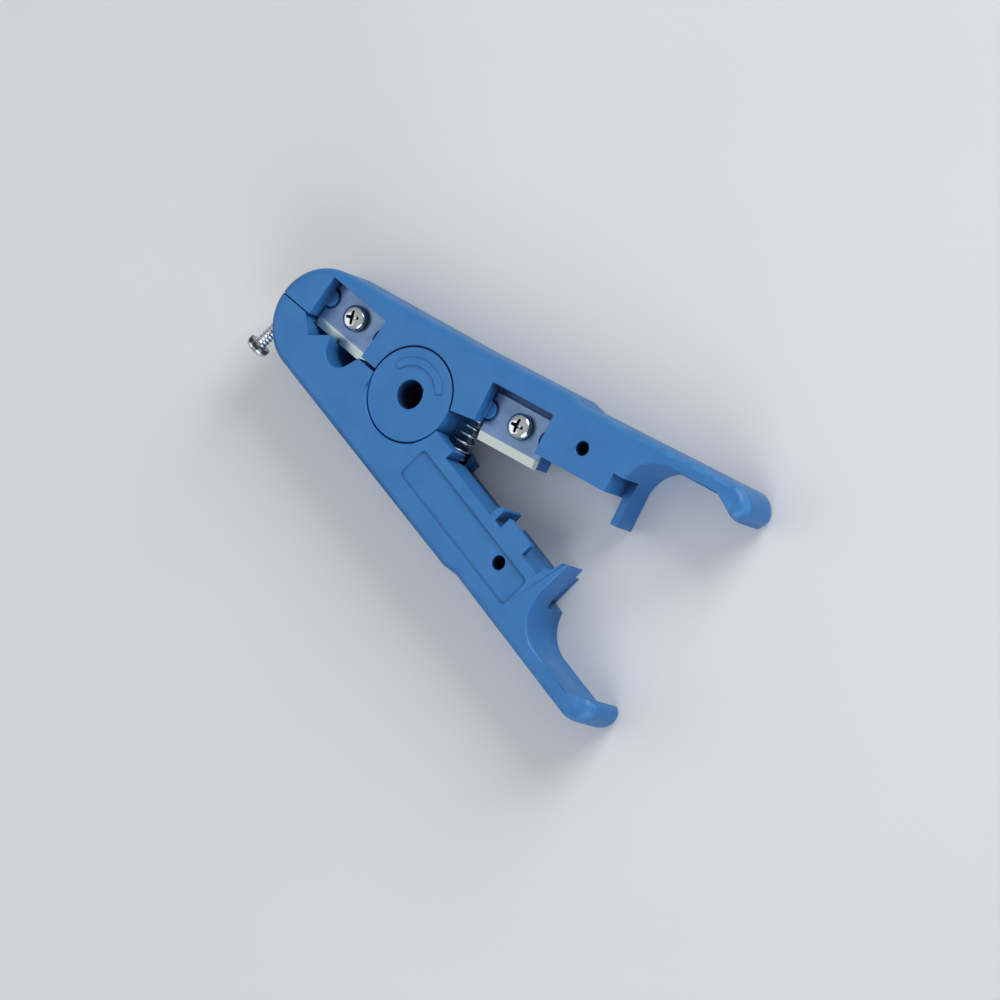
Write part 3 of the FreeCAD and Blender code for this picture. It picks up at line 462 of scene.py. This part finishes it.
def blade_grid(size, shift, strip):
    """Blade with a screw hole, two end notches and a ground bevel, as a closed grid.

    Columns run along the outline by distance. Rows run from the hole's rim out over the front face, down
    the outline, back over the rear face and up the hole. Front height is gauge, falling in proportion to
    the distance from the cutting edge below the bevel's top: land + (gauge - land) y / bevel.
    """
    half, height, gauge = size.length / 2, size.height, size.gauge
    row, reach = size.hole_height, half + size.notch_centre
    dip = math.acos((reach - half) / size.notch)
    low_notch = row - size.notch * math.sin(dip)
    high_notch = row + size.notch * math.sin(dip)
    bow = np.linspace(-dip, dip, 25)
    right_notch = np.stack([reach - size.notch * np.cos(bow), row + size.notch * np.sin(bow)], axis=-1)
    left_notch = right_notch[::-1] * [-1, 1]

    def run(start, end, count):
        """Points from start up to, without, end."""
        share = np.linspace(0, 1, count, endpoint=False)[:, None]
        return np.array(start) * (1 - share) + np.array(end) * share

    bevel = size.bevel
    under = bevel - 0.00012
    edge = np.concatenate([
        run((-half, 0), (half, 0), 60),
        run((half, 0), (half, under), 8),
        run((half, under), (half, bevel), 1),
        run((half, bevel), (half, low_notch), 12),
        right_notch,
        run((half, high_notch), (half, height), 8)[1:],
        run((half, height), (-half, height), 60),
        run((-half, height), (-half, high_notch), 8),
        left_notch,
        run((-half, low_notch), (-half, bevel), 12)[1:],
        run((-half, bevel), (-half, under), 1),
        run((-half, under), (-half, 0), 8),
    ])
    hole_centre = np.array([shift, row])
    outward = edge - hole_centre
    outward /= np.linalg.norm(outward, axis=1, keepdims=True)
    rim = hole_centre + outward * size.hole
    share = (rim[:, 1] - bevel) / np.where(edge[:, 1] < bevel, rim[:, 1] - edge[:, 1], 1.0)
    crease = np.where(edge[:, 1] < bevel, np.clip(share, 0.3, 0.97), 0.97)
    burr = size.burr
    inner = np.linspace(0, 1, 7)[:, None] * crease
    outer = crease + np.linspace(0, 1, 4)[1:, None] * (1 - crease)
    steps = np.concatenate([inner, outer])
    flat = rim + (edge - rim) * steps[:, :, None]

    def top(points):
        """Height of the front face over points."""
        slope = size.land + (gauge - size.land) * points[..., 1] / bevel
        return np.minimum(gauge, slope)

    def raised(points, height):
        """Points with their height, which is one for all or one for each."""
        return np.concatenate([points, np.broadcast_to(height, points.shape[:-1])[..., None]], axis=-1)

    flat[0] = rim + outward * burr
    flat[-1] = edge - outward * burr
    ending = (flat[..., 0] > half - strip) & (edge[:, 1] <= bevel)
    flat[..., 0] = np.where(ending, half - strip, flat[..., 0])
    edge_top = top(edge)
    at_strip = (strip > 0) & (edge[:, 0] > half - 1e-9) & (edge[:, 1] <= bevel)
    break_down = np.where(at_strip, edge_top * 0.9, np.minimum(burr, edge_top * 0.3))
    wall = edge_top - break_down
    return np.concatenate([
        raised(flat, top(flat)), raised(edge, wall)[None], raised(edge, np.minimum(burr, wall / 2))[None],
        raised(flat[::-1], 0.0), raised(rim, burr)[None], raised(rim, gauge - burr)[None]])


TURN = np.linspace(0, 2 * math.pi, 144, endpoint=False)


def polar(radius, angle, height):
    """Points at a radius and an angle round z and at a height, each one for all or given for each."""
    radius, angle, height = np.broadcast_arrays(radius, angle, height)
    return np.stack([radius * np.cos(angle), radius * np.sin(angle), height], axis=-1)


def ring(radii, heights):
    """Rings round z of given radii and heights."""
    return polar(radii, TURN, heights)


def thread(heights, pitch):
    """Share of a thread's depth at heights round z: 0.5 - 0.5 cos(2 pi z / pitch - angle)."""
    return 0.5 - 0.5 * np.cos(2 * math.pi * heights / pitch - TURN)


def dome(size, share):
    """Height of a pan head at a share of its radius: rim + crown (1 - share^2.6)^(1/2)."""
    rim = size.head_height - size.crown
    return rim + size.crown * np.sqrt(np.clip(1 - share ** 2.6, 0, 1))


def screw_grid(size, head, length, pitch):
    """Pan head screw along its own z, its seat at 0, as rings from the crown down to the point.

    The crown is a dome less the cross recess. The recess is full depth inside either wing, fades over wall
    at its sides and falls towards the wing tips with the square of the distance.
    """
    flank = size.head_height - size.crown
    out = np.sin(np.linspace(0.012, 1, 64) * math.pi / 2) * head
    radius = np.repeat(out[:, None], len(TURN), axis=1)
    across, along = np.abs(radius * np.cos(TURN)), np.abs(radius * np.sin(TURN))
    half, reach = size.wing_width / 2, size.wing_span / 2
    taper = 1 - 0.30 * radius / reach
    first = np.minimum(half * taper - along, reach - across)
    second = np.minimum(half * taper - across, reach - along)
    inside = np.maximum(first, second) + 0.00002
    wall = 0.00016
    bottom = size.recess_depth * (1 - 0.55 * np.clip(radius / reach, 0, 1) ** 2)
    crown = dome(size, radius / head) - bottom * smooth_step(inside / wall)
    soft = 0.00012
    bend = np.linspace(0, math.pi / 2, 5)[:, None]
    straight = length - size.point
    heights = np.linspace(0, -straight, int(length / pitch * 9))[:, None]
    ease = smooth_step(-heights / pitch) * smooth_step((heights + straight) / pitch + 0.4)
    tip = np.linspace(0, 1, 5)[1:, None]
    return np.concatenate([
        ring(radius, crown),
        ring(head, np.linspace(flank * 0.85, flank * 0.3, 3)[:, None]),
        ring(head - soft * (1 - np.cos(bend)), soft - soft * np.sin(bend)),
        ring(size.shank + 0.0002, np.zeros((1, 1))),
        ring(size.shank - size.thread_depth * thread(heights, pitch) * ease, heights),
        ring(size.shank - size.point * tip, -straight - size.point * tip),
        ring((size.shank - size.point) * 0.3, np.full((1, 1), -length)),
    ])


def nut_grid(size):
    """Hexagon nut: the flats' radius is (flats / 2) / cos(angle from a flat's middle), the corners are cut
    by a 30 degree cone from the flats' circle, and the bore carries a thread like the screws'."""
    inradius = size.flats / 2
    from_flat = np.mod(TURN, math.pi / 3) - math.pi / 6
    hexagon = inradius / np.cos(from_flat)
    cone = inradius * 0.96
    height = size.height
    fall = (hexagon - cone) * math.tan(math.radians(30))
    lip = size.bore + size.thread_depth + 0.00005
    face, waist = (lip + cone) / 2, (cone + hexagon) / 2
    outside = [ring(*radius_and_height) for radius_and_height in (
        (lip, height), (face, height), (cone, height), (waist, height - fall / 2),
        (hexagon, height - fall), (hexagon, fall), (waist, fall / 2), (cone, 0.0), (face, 0.0), (lip, 0.0))]
    levels = np.linspace(0.0001, height - 0.0001, int(height / size.pitch * 9))[:, None]
    bore = ring(size.bore + size.thread_depth * thread(levels, size.pitch), levels)
    return np.concatenate([np.stack(outside), bore])


def spring_grid(size, length):
    """Compression spring along its own z: a circle of wire carried along a helix.

    Its rise per turn is the wire's thickness over the closed end turns and even between them, and changes
    smoothly over a third of a turn. Each end is drawn in to a closed, slightly rounded cut.
    """
    turns = size.closed_turns * 2 + size.open_turns
    count = int(turns * 72)
    run = np.linspace(0, turns, count)
    wire = size.wire
    closed_rise = 2.04 * wire
    fade = 0.34
    blend = smooth_step((run - size.closed_turns + fade / 2) / fade)
    blend *= smooth_step((turns - size.closed_turns - run + fade / 2) / fade)
    step = turns / (count - 1)
    free = length - 2 * wire - closed_rise * np.sum((1 - blend)[:-1]) * step
    open_rise = free / (np.sum(blend[:-1]) * step)
    rise = closed_rise * (1 - blend) + open_rise * blend
    climb = wire + np.concatenate([[0.0], np.cumsum(rise[:-1]) * step])
    angle = 2 * math.pi * run
    centre, radial = polar(size.coil, angle, climb), polar(1.0, angle, 0.0)
    tangent = np.stack([-size.coil * np.sin(angle), size.coil * np.cos(angle), rise / (2 * math.pi)], axis=-1)
    tangent /= np.linalg.norm(tangent, axis=1, keepdims=True)
    binormal = np.cross(tangent, radial)
    around = np.linspace(0, 2 * math.pi, 16, endpoint=False)
    circle = np.cos(around)[:, None] * radial[:, None] + np.sin(around)[:, None] * binormal[:, None]
    wires = centre[:, None] + wire * circle
    cut = 0.25 * wire
    first = centre[0] + (wire - cut) * circle[0] - cut * tangent[0]
    last = centre[-1] + (wire - cut) * circle[-1] + cut * tangent[-1]
    return np.concatenate([first[None], wires, last[None]])


# Materials

def new_group(name, inputs, outputs):
    """Empty shader group, its inputs and outputs, and the place in the piece's own space.

    Inputs have a default each and are values, or vectors where it is None. Outputs are values.
    """
    group = bpy.data.node_groups.new(name, "ShaderNodeTree")
    for label, default in inputs.items():
        kind = "NodeSocketVector" if default is None else "NodeSocketFloat"
        socket = group.interface.new_socket(label, in_out="INPUT", socket_type=kind)
        if default is not None:
            socket.default_value = default
    for label in outputs:
        group.interface.new_socket(label, in_out="OUTPUT", socket_type="NodeSocketFloat")
    return (group, group.nodes.new("NodeGroupInput").outputs, group.nodes.new("NodeGroupOutput").inputs,
            group.nodes.new("ShaderNodeTexCoord").outputs["Object"])


def add_node(tree, kind, links=None, **values):
    """A node with its options set and its inputs linked or given a value."""
    node = tree.nodes.new(kind)
    for option, value in values.items():
        setattr(node, option, value)
    for label, source in (links or {}).items():
        socket = node.inputs[label]
        if isinstance(source, bpy.types.NodeSocket):
            tree.links.new(source, socket)
        else:
            socket.default_value = source
    return node


def math_node(tree, operation, *values, clamp=False):
    """Result of a sum of two or three values."""
    return add_node(tree, "ShaderNodeMath", dict(enumerate(values)), operation=operation,
                    use_clamp=clamp).outputs[0]


def map_range(tree, value, **ends):
    """Value carried from one span to another and held within it, each from 0 to 1 unless given."""
    links = {label.replace("_", " "): end for label, end in ends.items()}
    return add_node(tree, "ShaderNodeMapRange", {"Value": value, **links}).outputs["Result"]


def noise(tree, place, scale, detail):
    """Soft noise from 0 to 1."""
    links = {"Vector": place, "Scale": scale, "Detail": detail}
    return add_node(tree, "ShaderNodeTexNoise", links).outputs["Fac"]


def attribute(tree, label):
    """A point attribute of the mesh."""
    return add_node(tree, "ShaderNodeAttribute", attribute_name=label).outputs["Fac"]


def grain_group():
    """Moulded or cast grain: fine cells and noise as a height, and a slow cloud for the colour."""
    group, given, result, place = new_group("fine grain", {"Size": 0.0003, "Cloud size": 0.006},
                                            ("Height", "Cloud"))
    fine = math_node(group, "DIVIDE", 1.0, given["Size"])
    broad = math_node(group, "DIVIDE", 1.0, given["Cloud size"])
    pits = add_node(group, "ShaderNodeTexVoronoi", {"Vector": place, "Scale": fine}, feature="SMOOTH_F1")
    height = math_node(group, "MULTIPLY_ADD", pits.outputs["Distance"], 0.5, noise(group, place, fine, 2.0))
    cloud = map_range(group, noise(group, place, broad, 3.0), From_Min=0.35, From_Max=0.65)
    group.links.new(height, result["Height"])
    group.links.new(cloud, result["Cloud"])
    return group


def wear_and_light_group():
    """Rubbed edges with a painted highlight, and painted shade in inner corners: the rim and crease
    attributes, broken up by noise.
    """
    group, given, result, place = new_group("edge wear", {"Patch size": 0.002, "Reach": 0.5},
                                            ("Wear and highlight", "Corner"))
    patch = noise(group, place, math_node(group, "DIVIDE", 1.0, given["Patch size"]), 4.0)
    broken = map_range(group, patch, From_Min=0.30, From_Max=0.62)
    uneven = math_node(group, "MULTIPLY_ADD", broken, 0.4, 0.6)
    # rubbed wear and a painted highlight along the outer roundings
    mask = math_node(group, "MULTIPLY", attribute(group, "rim"), broken)
    wear_and_light = math_node(group, "MULTIPLY", mask, given["Reach"], clamp=True)
    group.links.new(wear_and_light, result["Wear and highlight"])
    # painted shade along the inner roundings
    corner = math_node(group, "MULTIPLY", attribute(group, "crease"), uneven, clamp=True)
    group.links.new(corner, result["Corner"])
    return group


def brushing_group():
    """Brushed or ground metal: noise drawn out along one direction, as a height and a streak mask."""
    group, given, result, place = new_group(
        "brushing", {"Turn": None, "Line width": 0.00006, "Line length": 0.004}, ("Height", "Streak"))
    turned_place = add_node(group, "ShaderNodeMapping", {"Vector": place, "Rotation": given["Turn"]},
                            vector_type="POINT")
    parts = add_node(group, "ShaderNodeSeparateXYZ", {"Vector": turned_place.outputs["Vector"]}).outputs
    across = math_node(group, "DIVIDE", 1.0, given["Line width"])
    along = math_node(group, "DIVIDE", 1.0, given["Line length"])
    drawn = add_node(group, "ShaderNodeCombineXYZ", {
        axis: math_node(group, "MULTIPLY", parts[axis], scale)
        for axis, scale in (("X", along), ("Y", across), ("Z", across))})
    lines = noise(group, drawn.outputs[0], 1.0, 3.0)
    group.links.new(lines, result["Height"])
    group.links.new(map_range(group, lines, From_Min=0.3, From_Max=0.7), result["Streak"])
    return group


def faded(colour, share):
    """A colour taken down to a share of itself."""
    return tuple(channel * share for channel in colour)


class Finish:
    """A material under construction, with its shader and short calls for the nodes that feed it."""

    def __init__(self, name, metallic, **constants):
        self.material = bpy.data.materials.new(name)
        self.material.use_nodes = True
        self.tree = self.material.node_tree
        self.shader = self.tree.nodes["Principled BSDF"]
        self.shader.inputs["Metallic"].default_value = metallic
        for label, value in constants.items():
            self.shader.inputs[label.replace("_", " ")].default_value = value

    def group(self, name, maker, **values):
        """Outputs of a shared group, built once, with this material's values."""
        node = self.tree.nodes.new("ShaderNodeGroup")
        node.node_tree = bpy.data.node_groups.get(name) or maker()
        for label, value in values.items():
            node.inputs[label.replace("_", " ")].default_value = value
        return node.outputs

    def grain(self, size, patch):
        """Outputs of the shared grain, its cells and its clouds of these sizes."""
        return self.group("fine grain", grain_group, Size=size, Cloud_size=patch)

    def mix(self, share, first, second):
        """Colour between two by a share."""
        node = add_node(self.tree, "ShaderNodeMix", {"Factor": share}, data_type="RGBA")
        for socket, colour in ((node.inputs[6], first), (node.inputs[7], second)):
            if isinstance(colour, bpy.types.NodeSocket):
                self.tree.links.new(colour, socket)
            else:
                socket.default_value = (*colour, 1.0)
        return node.outputs[2]

    def times(self, value, share):
        """Product of a value and a share."""
        return math_node(self.tree, "MULTIPLY", value, share)

    def between(self, share, low, high):
        """Value between low and high by a share."""
        return map_range(self.tree, share, To_Min=low, To_Max=high)

    def occlusion_shade_mask(self, reach, open_share, closed_share):
        """Mask of painted shade, from 0 where the piece's own surface leaves a point open to 1 where it
        closes it in.
        """
        shade = add_node(self.tree, "ShaderNodeAmbientOcclusion", {"Distance": reach}, samples=8,
                         only_local=True)
        return map_range(self.tree, shade.outputs["AO"], From_Min=open_share, From_Max=closed_share)

    def bump(self, height, strength, distance):
        """Normal of a height."""
        links = {"Height": height, "Strength": strength, "Distance": distance}
        return add_node(self.tree, "ShaderNodeBump", links).outputs["Normal"]

    def feed(self, colour, roughness, normal=None):
        """Link the shader's colour, roughness and normal, and hand over the material."""
        for label, source in (("Base Color", colour), ("Roughness", roughness), ("Normal", normal)):
            if source is not None:
                self.tree.links.new(source, self.shader.inputs[label])
        return self.material


def blue_plastic(settings):
    """Satin moulded plastic: fine grain, slow clouds of tint, painted shade in hollows and inner corners, and
    lighter edges of rubbed wear and a painted highlight.
    """
    finish = Finish("blue_moulded_plastic", 0.0, IOR=1.49)
    grain = finish.grain(settings.grain_size, 0.007)
    wear_and_light = finish.group("edge wear", wear_and_light_group, Patch_size=0.0016, Reach=0.45)
    colour = finish.mix(finish.times(grain["Cloud"], 0.35), settings.plastic, settings.deep_plastic)
    # painted shade: darker in tight creases and deep in holes and pits, where the piece closes in on itself
    colour = finish.mix(finish.occlusion_shade_mask(0.0007, 0.92, 0.45), colour, settings.corner_shade_plastic)
    colour = finish.mix(finish.occlusion_shade_mask(0.0080, 0.80, 0.30), colour, settings.hollow_shade_plastic)
    # painted shade along the inner roundings
    colour = finish.mix(finish.times(wear_and_light["Corner"], 0.6), colour, settings.corner_shade_plastic)
    # lighter along the outer roundings: rubbed wear and a painted highlight
    colour = finish.mix(wear_and_light["Wear and highlight"], colour, settings.worn_and_highlit_plastic)
    roughness = finish.between(grain["Cloud"], settings.gloss_loss, settings.gloss_loss + 0.08)
    return finish.feed(colour, roughness, finish.bump(grain["Height"], 0.22, 0.00003))


def blade_steel(settings):
    """Sheet steel brushed along the blade, with faint handling marks."""
    finish = Finish("brushed_blade_steel", 1.0)
    lines = finish.group("brushing", brushing_group, Line_width=0.00008, Line_length=0.005)
    marks = finish.grain(0.0004, 0.004)
    dull = faded(settings.steel, 0.80)
    streaked = finish.mix(lines["Streak"], settings.steel, dull)
    colour = finish.mix(finish.times(marks["Cloud"], 0.3), streaked, dull)
    return finish.feed(colour, finish.between(marks["Cloud"], 0.34, 0.46),
                       finish.bump(lines["Height"], 0.25, 0.00002))


def ground_and_glint_steel(settings):
    """Freshly ground bevel with fine lines across it; on the blades' short end faces the same finish is a
    painted glint.
    """
    finish = Finish("ground_bevel_and_glint_steel", 1.0)
    lines = finish.group("brushing", brushing_group, Turn=(0.0, 0.0, math.pi / 2), Line_width=0.00005,
                         Line_length=0.002)
    colour = finish.mix(lines["Streak"], settings.bevel_steel, faded(settings.bevel_steel, 0.86))
    return finish.feed(colour, finish.between(lines["Streak"], 0.30, 0.42),
                       finish.bump(lines["Height"], 0.3, 0.000015))


def mottled_metal(name, colour, fade, grain, patch, roughness, bump, reach=1.0, painted_shade_colour=None):
    """Metal with a fine grain and, by reach, patches faded and rougher.

    grain and patch are sizes, roughness is its two ends and bump its strength and distance. The last
    argument is the colour of the painted shade and painted dark reflection that a point attribute lays over
    it.
    """
    finish = Finish(name, 1.0)
    marks = finish.grain(grain, patch)
    shown = finish.mix(finish.times(marks["Cloud"], reach), colour, faded(colour, fade))
    # painted shade and painted dark reflection, laid on by a point attribute
    if painted_shade_colour is not None:
        shown = finish.mix(attribute(finish.tree, "painted_shade"), shown, painted_shade_colour)
    return finish.feed(shown, finish.between(marks["Cloud"], *roughness), finish.bump(marks["Height"], *bump))


# Operators

class WIRESTRIPPER_OT_shells(bpy.types.Operator):
    """Make the two moulded shells with rounded edges and the satin plastic finish"""

    bl_idname = "wire_stripper.shells"
    bl_label = "Moulded shells"

    def execute(self, context):
        settings = context.scene.stripper_shells
        plastic = blue_plastic(settings)
        for side in ("lower", "upper"):
            node = side + "_handle"
            mesh = softened_copy(node, side + "_shell", settings.edge_round, settings.least_round)
            mesh.materials.clear()
            heading = HALF_SWING if side == "upper" else -HALF_SWING
            for turn, radius in ((0, settings.tip_round), (50, settings.tip_corner),
                                 (-50, settings.tip_corner)):
                round_tip(mesh, turned(heading + math.radians(turn))[0], radius)
            piece = finish_piece(side + "_shell", mesh, [plastic], side + "_body", [node], 40)
            shading = piece.modifiers.new("even shading", "WEIGHTED_NORMAL")
            shading.keep_sharp = True
            shading.weight = 90
            settle_normals(piece)
        return {"FINISHED"}


class WIRESTRIPPER_OT_blades(bpy.types.Operator):
    """Make the nose blade and the cutter blade with their ground bevels"""

    bl_idname = "wire_stripper.blades"
    bl_label = "Ground blades"

    def execute(self, context):
        settings = context.scene.stripper_blades
        finishes = [blade_steel(settings), ground_and_glint_steel(settings)]
        for node, basis, shift, strip in (
                ("nose_blade", UPRIGHT, 0.0, 0.0),
                ("cutter_blade", TURNED, settings.hole_shift, settings.end_strip)):
            low, middle, _ = span(node, basis)
            corner = np.array([middle[0], low[1], low[2]])
            grid = blade_grid(settings, shift, strip)
            mesh = skin(node + "_plate", grid, (corner @ basis, basis), wrap_rows=True)
            centres = read(mesh.polygons, "center", 3) @ basis.T - corner
            ground = (centres[:, 1] < settings.bevel) & (centres[:, 2] > settings.gauge * 0.1)
            # the short end faces take the bright ground finish too, as a painted glint
            ground |= np.abs(centres[:, 0]) > settings.length / 2 - 1e-6
            mesh.polygons.foreach_set("material_index", ground.astype(np.int32))
            finish_piece(node + "_plate", mesh, finishes, "upper_body", [node], 14)
        return {"FINISHED"}


def mark_painted_shade(mesh, axis, seat, size):
    """Point attribute of painted shade: how far a vertex lies down in a head's cross recess, and a painted
    dark reflection near its foot.
    """
    points = read(mesh.vertices, "co", 3) - seat
    level = points @ axis
    out = np.linalg.norm(points - level[:, None] * axis, axis=1)
    depth = np.where((out < size.wing_span / 2 + 0.0002) & (level > 0),
                     dome(size, out / size.head) - level, 0.0)
    flank = (size.head_height - size.crown) * 0.9
    # painted dark reflection on the flank near the head's foot
    foot = np.where(out > size.shank + 0.0004, smooth_step((flank * 1.2 - level) / (flank * 0.35)), 0.0)
    # painted shade down in the cross recess
    wing = smooth_step(depth / 0.0005) * smooth_step((out - 0.0001) / 0.00045)
    painted_shade = np.maximum(wing, foot * 0.9)
    mesh.attributes.new("painted_shade", "FLOAT", "POINT").data.foreach_set("value", painted_shade)


class WIRESTRIPPER_OT_screws(bpy.types.Operator):
    """Make the two blade screws and the adjusting screw with threads and cross recesses"""

    bl_idname = "wire_stripper.screws"
    bl_label = "Pan head screws"

    def execute(self, context):
        settings = context.scene.stripper_screws
        plating = mottled_metal("bright_screw_plating", settings.chrome, fade=0.85, grain=0.00025,
                                patch=0.0012, roughness=(0.14, 0.24), bump=(0.08, 0.00001), reach=0.5,
                                painted_shade_colour=settings.painted_shade)
        blade_screw = UPRIGHT, settings.head, settings.blade_pitch, "upper_body"
        adjuster = OUTWARD, settings.adjuster_head, settings.adjuster_pitch, "adjuster"
        for node, (basis, head, pitch, body), turn in (
                ("nose_blade_screw", blade_screw, settings.nose_turn),
                ("cutter_blade_screw", blade_screw, settings.cutter_turn),
                ("adjusting_screw", adjuster, 0.0)):
            low, middle, high = span(node, basis)
            seat_height = high[2] - settings.head_height
            seat = np.array([middle[0], middle[1], seat_height]) @ basis
            grid = screw_grid(settings, head, seat_height - low[2], pitch)
            mesh = skin(node + "_plated", grid, (seat, turned(turn) @ basis))
            mark_painted_shade(mesh, basis[2], seat, settings)
            finish_piece(node + "_plated", mesh, [plating], body, [node], 50)
        return {"FINISHED"}


class WIRESTRIPPER_OT_nuts(bpy.types.Operator):
    """Make the two hexagon nuts with chamfered corners and threaded bores"""

    bl_idname = "wire_stripper.nuts"
    bl_label = "Hexagon nuts"

    def execute(self, context):
        settings = context.scene.stripper_nuts
        zinc = mottled_metal("dull_zinc_plating", settings.zinc, fade=0.75, grain=0.0002, patch=0.0015,
                             roughness=(0.32, 0.5), bump=(0.15, 0.00002))
        for node in ("nose_blade_nut", "cutter_blade_nut"):
            low, middle, _ = span(node)
            foot = np.array([middle[0], middle[1], low[2]])
            mesh = skin(node + "_plated", nut_grid(settings), (foot, UPRIGHT), wrap_rows=True)
            finish_piece(node + "_plated", mesh, [zinc], "upper_body", [node], 25)
        return {"FINISHED"}


class WIRESTRIPPER_OT_spring(bpy.types.Operator):
    """Make the return spring that sits between the handles"""

    bl_idname = "wire_stripper.spring"
    bl_label = "Return spring"

    def execute(self, context):
        settings = context.scene.stripper_spring
        wire = mottled_metal("drawn_spring_wire", settings.wire_steel, fade=0.7, grain=0.00015, patch=0.001,
                             roughness=(0.2, 0.34), bump=(0.1, 0.00001))
        low, middle, high = span("return_spring")
        foot = np.array([middle[0], low[1], middle[2]])
        basis = np.array([[1.0, 0.0, 0.0], [0.0, 0.0, -1.0], [0.0, 1.0, 0.0]])
        mesh = skin("spring_coil", spring_grid(settings, high[1] - low[1]), (foot, basis))
        piece = finish_piece("spring_coil", mesh, [wire], None, ["return_spring"], 50)
        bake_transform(piece)
        return {"FINISHED"}


def soft_lamp(name, place, size, power, colour):
    """Square soft lamp aimed at the tool."""
    lamp = bpy.data.lights.new(name, "AREA")
    lamp.size = size
    lamp.energy = power
    lamp.color = colour
    holder = add_object(name, lamp)
    holder.location = place
    target = Vector((0.025, 0.0, 0.007))
    holder.rotation_euler = (target - Vector(place)).to_track_quat("-Z", "Y").to_euler()


def even_sky(strength):
    """Even sky: a soft grade from the horizon up for the light, and plain pale grey for the view."""
    world = bpy.data.worlds.new("even_sky")
    world.use_nodes = True
    tree = world.node_tree
    tree.nodes.clear()
    place = tree.nodes.new("ShaderNodeTexCoord").outputs["Generated"]
    up = add_node(tree, "ShaderNodeSeparateXYZ", {"Vector": place}).outputs["Z"]
    grade = map_range(tree, up, From_Min=-0.2, From_Max=1.0, To_Min=0.35 * strength, To_Max=1.35 * strength)
    light = add_node(tree, "ShaderNodeBackground", {"Color": (1.0, 1.0, 1.0, 1.0), "Strength": grade})
    seen = add_node(tree, "ShaderNodeBackground", {"Color": (0.80, 0.81, 0.82, 1.0), "Strength": 1.0})
    ray = tree.nodes.new("ShaderNodeLightPath").outputs["Is Camera Ray"]
    either = add_node(tree, "ShaderNodeMixShader", {0: ray, 1: light.outputs[0], 2: seen.outputs[0]})
    add_node(tree, "ShaderNodeOutputWorld", {"Surface": either.outputs[0]})
    bpy.context.scene.world = world


class WIRESTRIPPER_OT_stage(bpy.types.Operator):
    """Make the plain floor, the soft light and the camera"""

    bl_idname = "wire_stripper.stage"
    bl_label = "Floor, light and camera"

    def execute(self, context):
        settings = context.scene.stripper_stage
        half = settings.floor_size / 2
        mesh = bpy.data.meshes.new("floor")
        mesh.from_pydata([(-half, -half, 0), (half, -half, 0), (half, half, 0), (-half, half, 0)], [],
                         [(0, 1, 2, 3)])
        floor = add_object("floor", mesh)
        paper = Finish("floor_paper", 0.0)
        grain = paper.grain(0.0015, 0.12)
        pale = paper.mix(grain["Cloud"], settings.floor, faded(settings.floor, 0.97))
        rays = paper.tree.nodes.new("ShaderNodeLightPath").outputs
        mirrored = math_node(paper.tree, "ADD", rays["Is Glossy Ray"], rays["Is Transmission Ray"])
        seen = math_node(paper.tree, "ADD", rays["Is Camera Ray"], mirrored, clamp=True)
        mesh.materials.append(paper.feed(paper.mix(seen, settings.floor_bounce, pale),
                                         paper.between(grain["Cloud"], 0.85, 0.9)))
        even_sky(settings.sky)
        soft_lamp("key_lamp", (0.25, 1.0, 0.52), 0.6, settings.key, (1.0, 0.99, 0.97))
        soft_lamp("left_fill_lamp", (-0.7, -0.5, 0.8), 0.9, settings.fill * 2.2, (0.98, 0.99, 1.0))
        soft_lamp("right_fill_lamp", (0.9, -0.55, 0.45), 0.8, settings.fill * 6.0, (0.78, 0.86, 1.0))
        lens = bpy.data.cameras.new("camera")
        lens.lens = settings.lens
        lens.sensor_width = 36
        lens.clip_start = 0.01
        camera = add_object("camera", lens)
        right, up, back = (0.6722, 0.5735, -0.4683), (-0.5781, 0.8017, 0.1522), (0.4627, 0.1684, 0.8704)
        turn = Matrix((right, up, back)).transposed().to_quaternion().to_matrix()
        camera.matrix_world = Matrix.Translation((0.7193, 0.2458, 1.3075)) @ turn.to_4x4()
        context.scene.camera = camera
        context.scene.view_settings.view_transform = "Standard"
        return {"FINISHED"}


class WIRESTRIPPER_PT_panel(bpy.types.Panel):
    """Panel that lists the pieces of the wire stripper"""

    bl_idname = "WIRESTRIPPER_PT_panel"
    bl_label = "Wire Stripper"
    bl_space_type = "VIEW_3D"
    bl_region_type = "UI"
    bl_category = "Wire Stripper"

    def draw(self, context):
        for operator, name, settings in STEPS:
            self.layout.operator(operator.bl_idname)
            box = self.layout.box()
            for label in settings.__annotations__:
                box.prop(getattr(context.scene, name), label)


STEPS = (
    (WIRESTRIPPER_OT_stage, "stripper_stage", StageSettings),
    (WIRESTRIPPER_OT_shells, "stripper_shells", ShellSettings),
    (WIRESTRIPPER_OT_blades, "stripper_blades", BladeSettings),
    (WIRESTRIPPER_OT_screws, "stripper_screws", ScrewSettings),
    (WIRESTRIPPER_OT_nuts, "stripper_nuts", NutSettings),
    (WIRESTRIPPER_OT_spring, "stripper_spring", SpringSettings),
)


def register():
    """Register the settings, the operators and the panel."""
    for operator, name, settings in STEPS:
        bpy.utils.register_class(settings)
        setattr(bpy.types.Scene, name, bpy.props.PointerProperty(type=settings))
        bpy.utils.register_class(operator)
    bpy.utils.register_class(WIRESTRIPPER_PT_panel)


def unregister():
    """Take back what register added."""
    bpy.utils.unregister_class(WIRESTRIPPER_PT_panel)
    for operator, name, settings in reversed(STEPS):
        bpy.utils.unregister_class(operator)
        delattr(bpy.types.Scene, name)
        bpy.utils.unregister_class(settings)


def main():
    """Make every piece in order."""
    register()
    bpy.ops.wire_stripper.stage()
    bpy.ops.wire_stripper.shells()
    bpy.ops.wire_stripper.blades()
    bpy.ops.wire_stripper.screws()
    bpy.ops.wire_stripper.nuts()
    bpy.ops.wire_stripper.spring()
    bpy.context.view_layer.update()


if __name__ == "__main__":
    main()
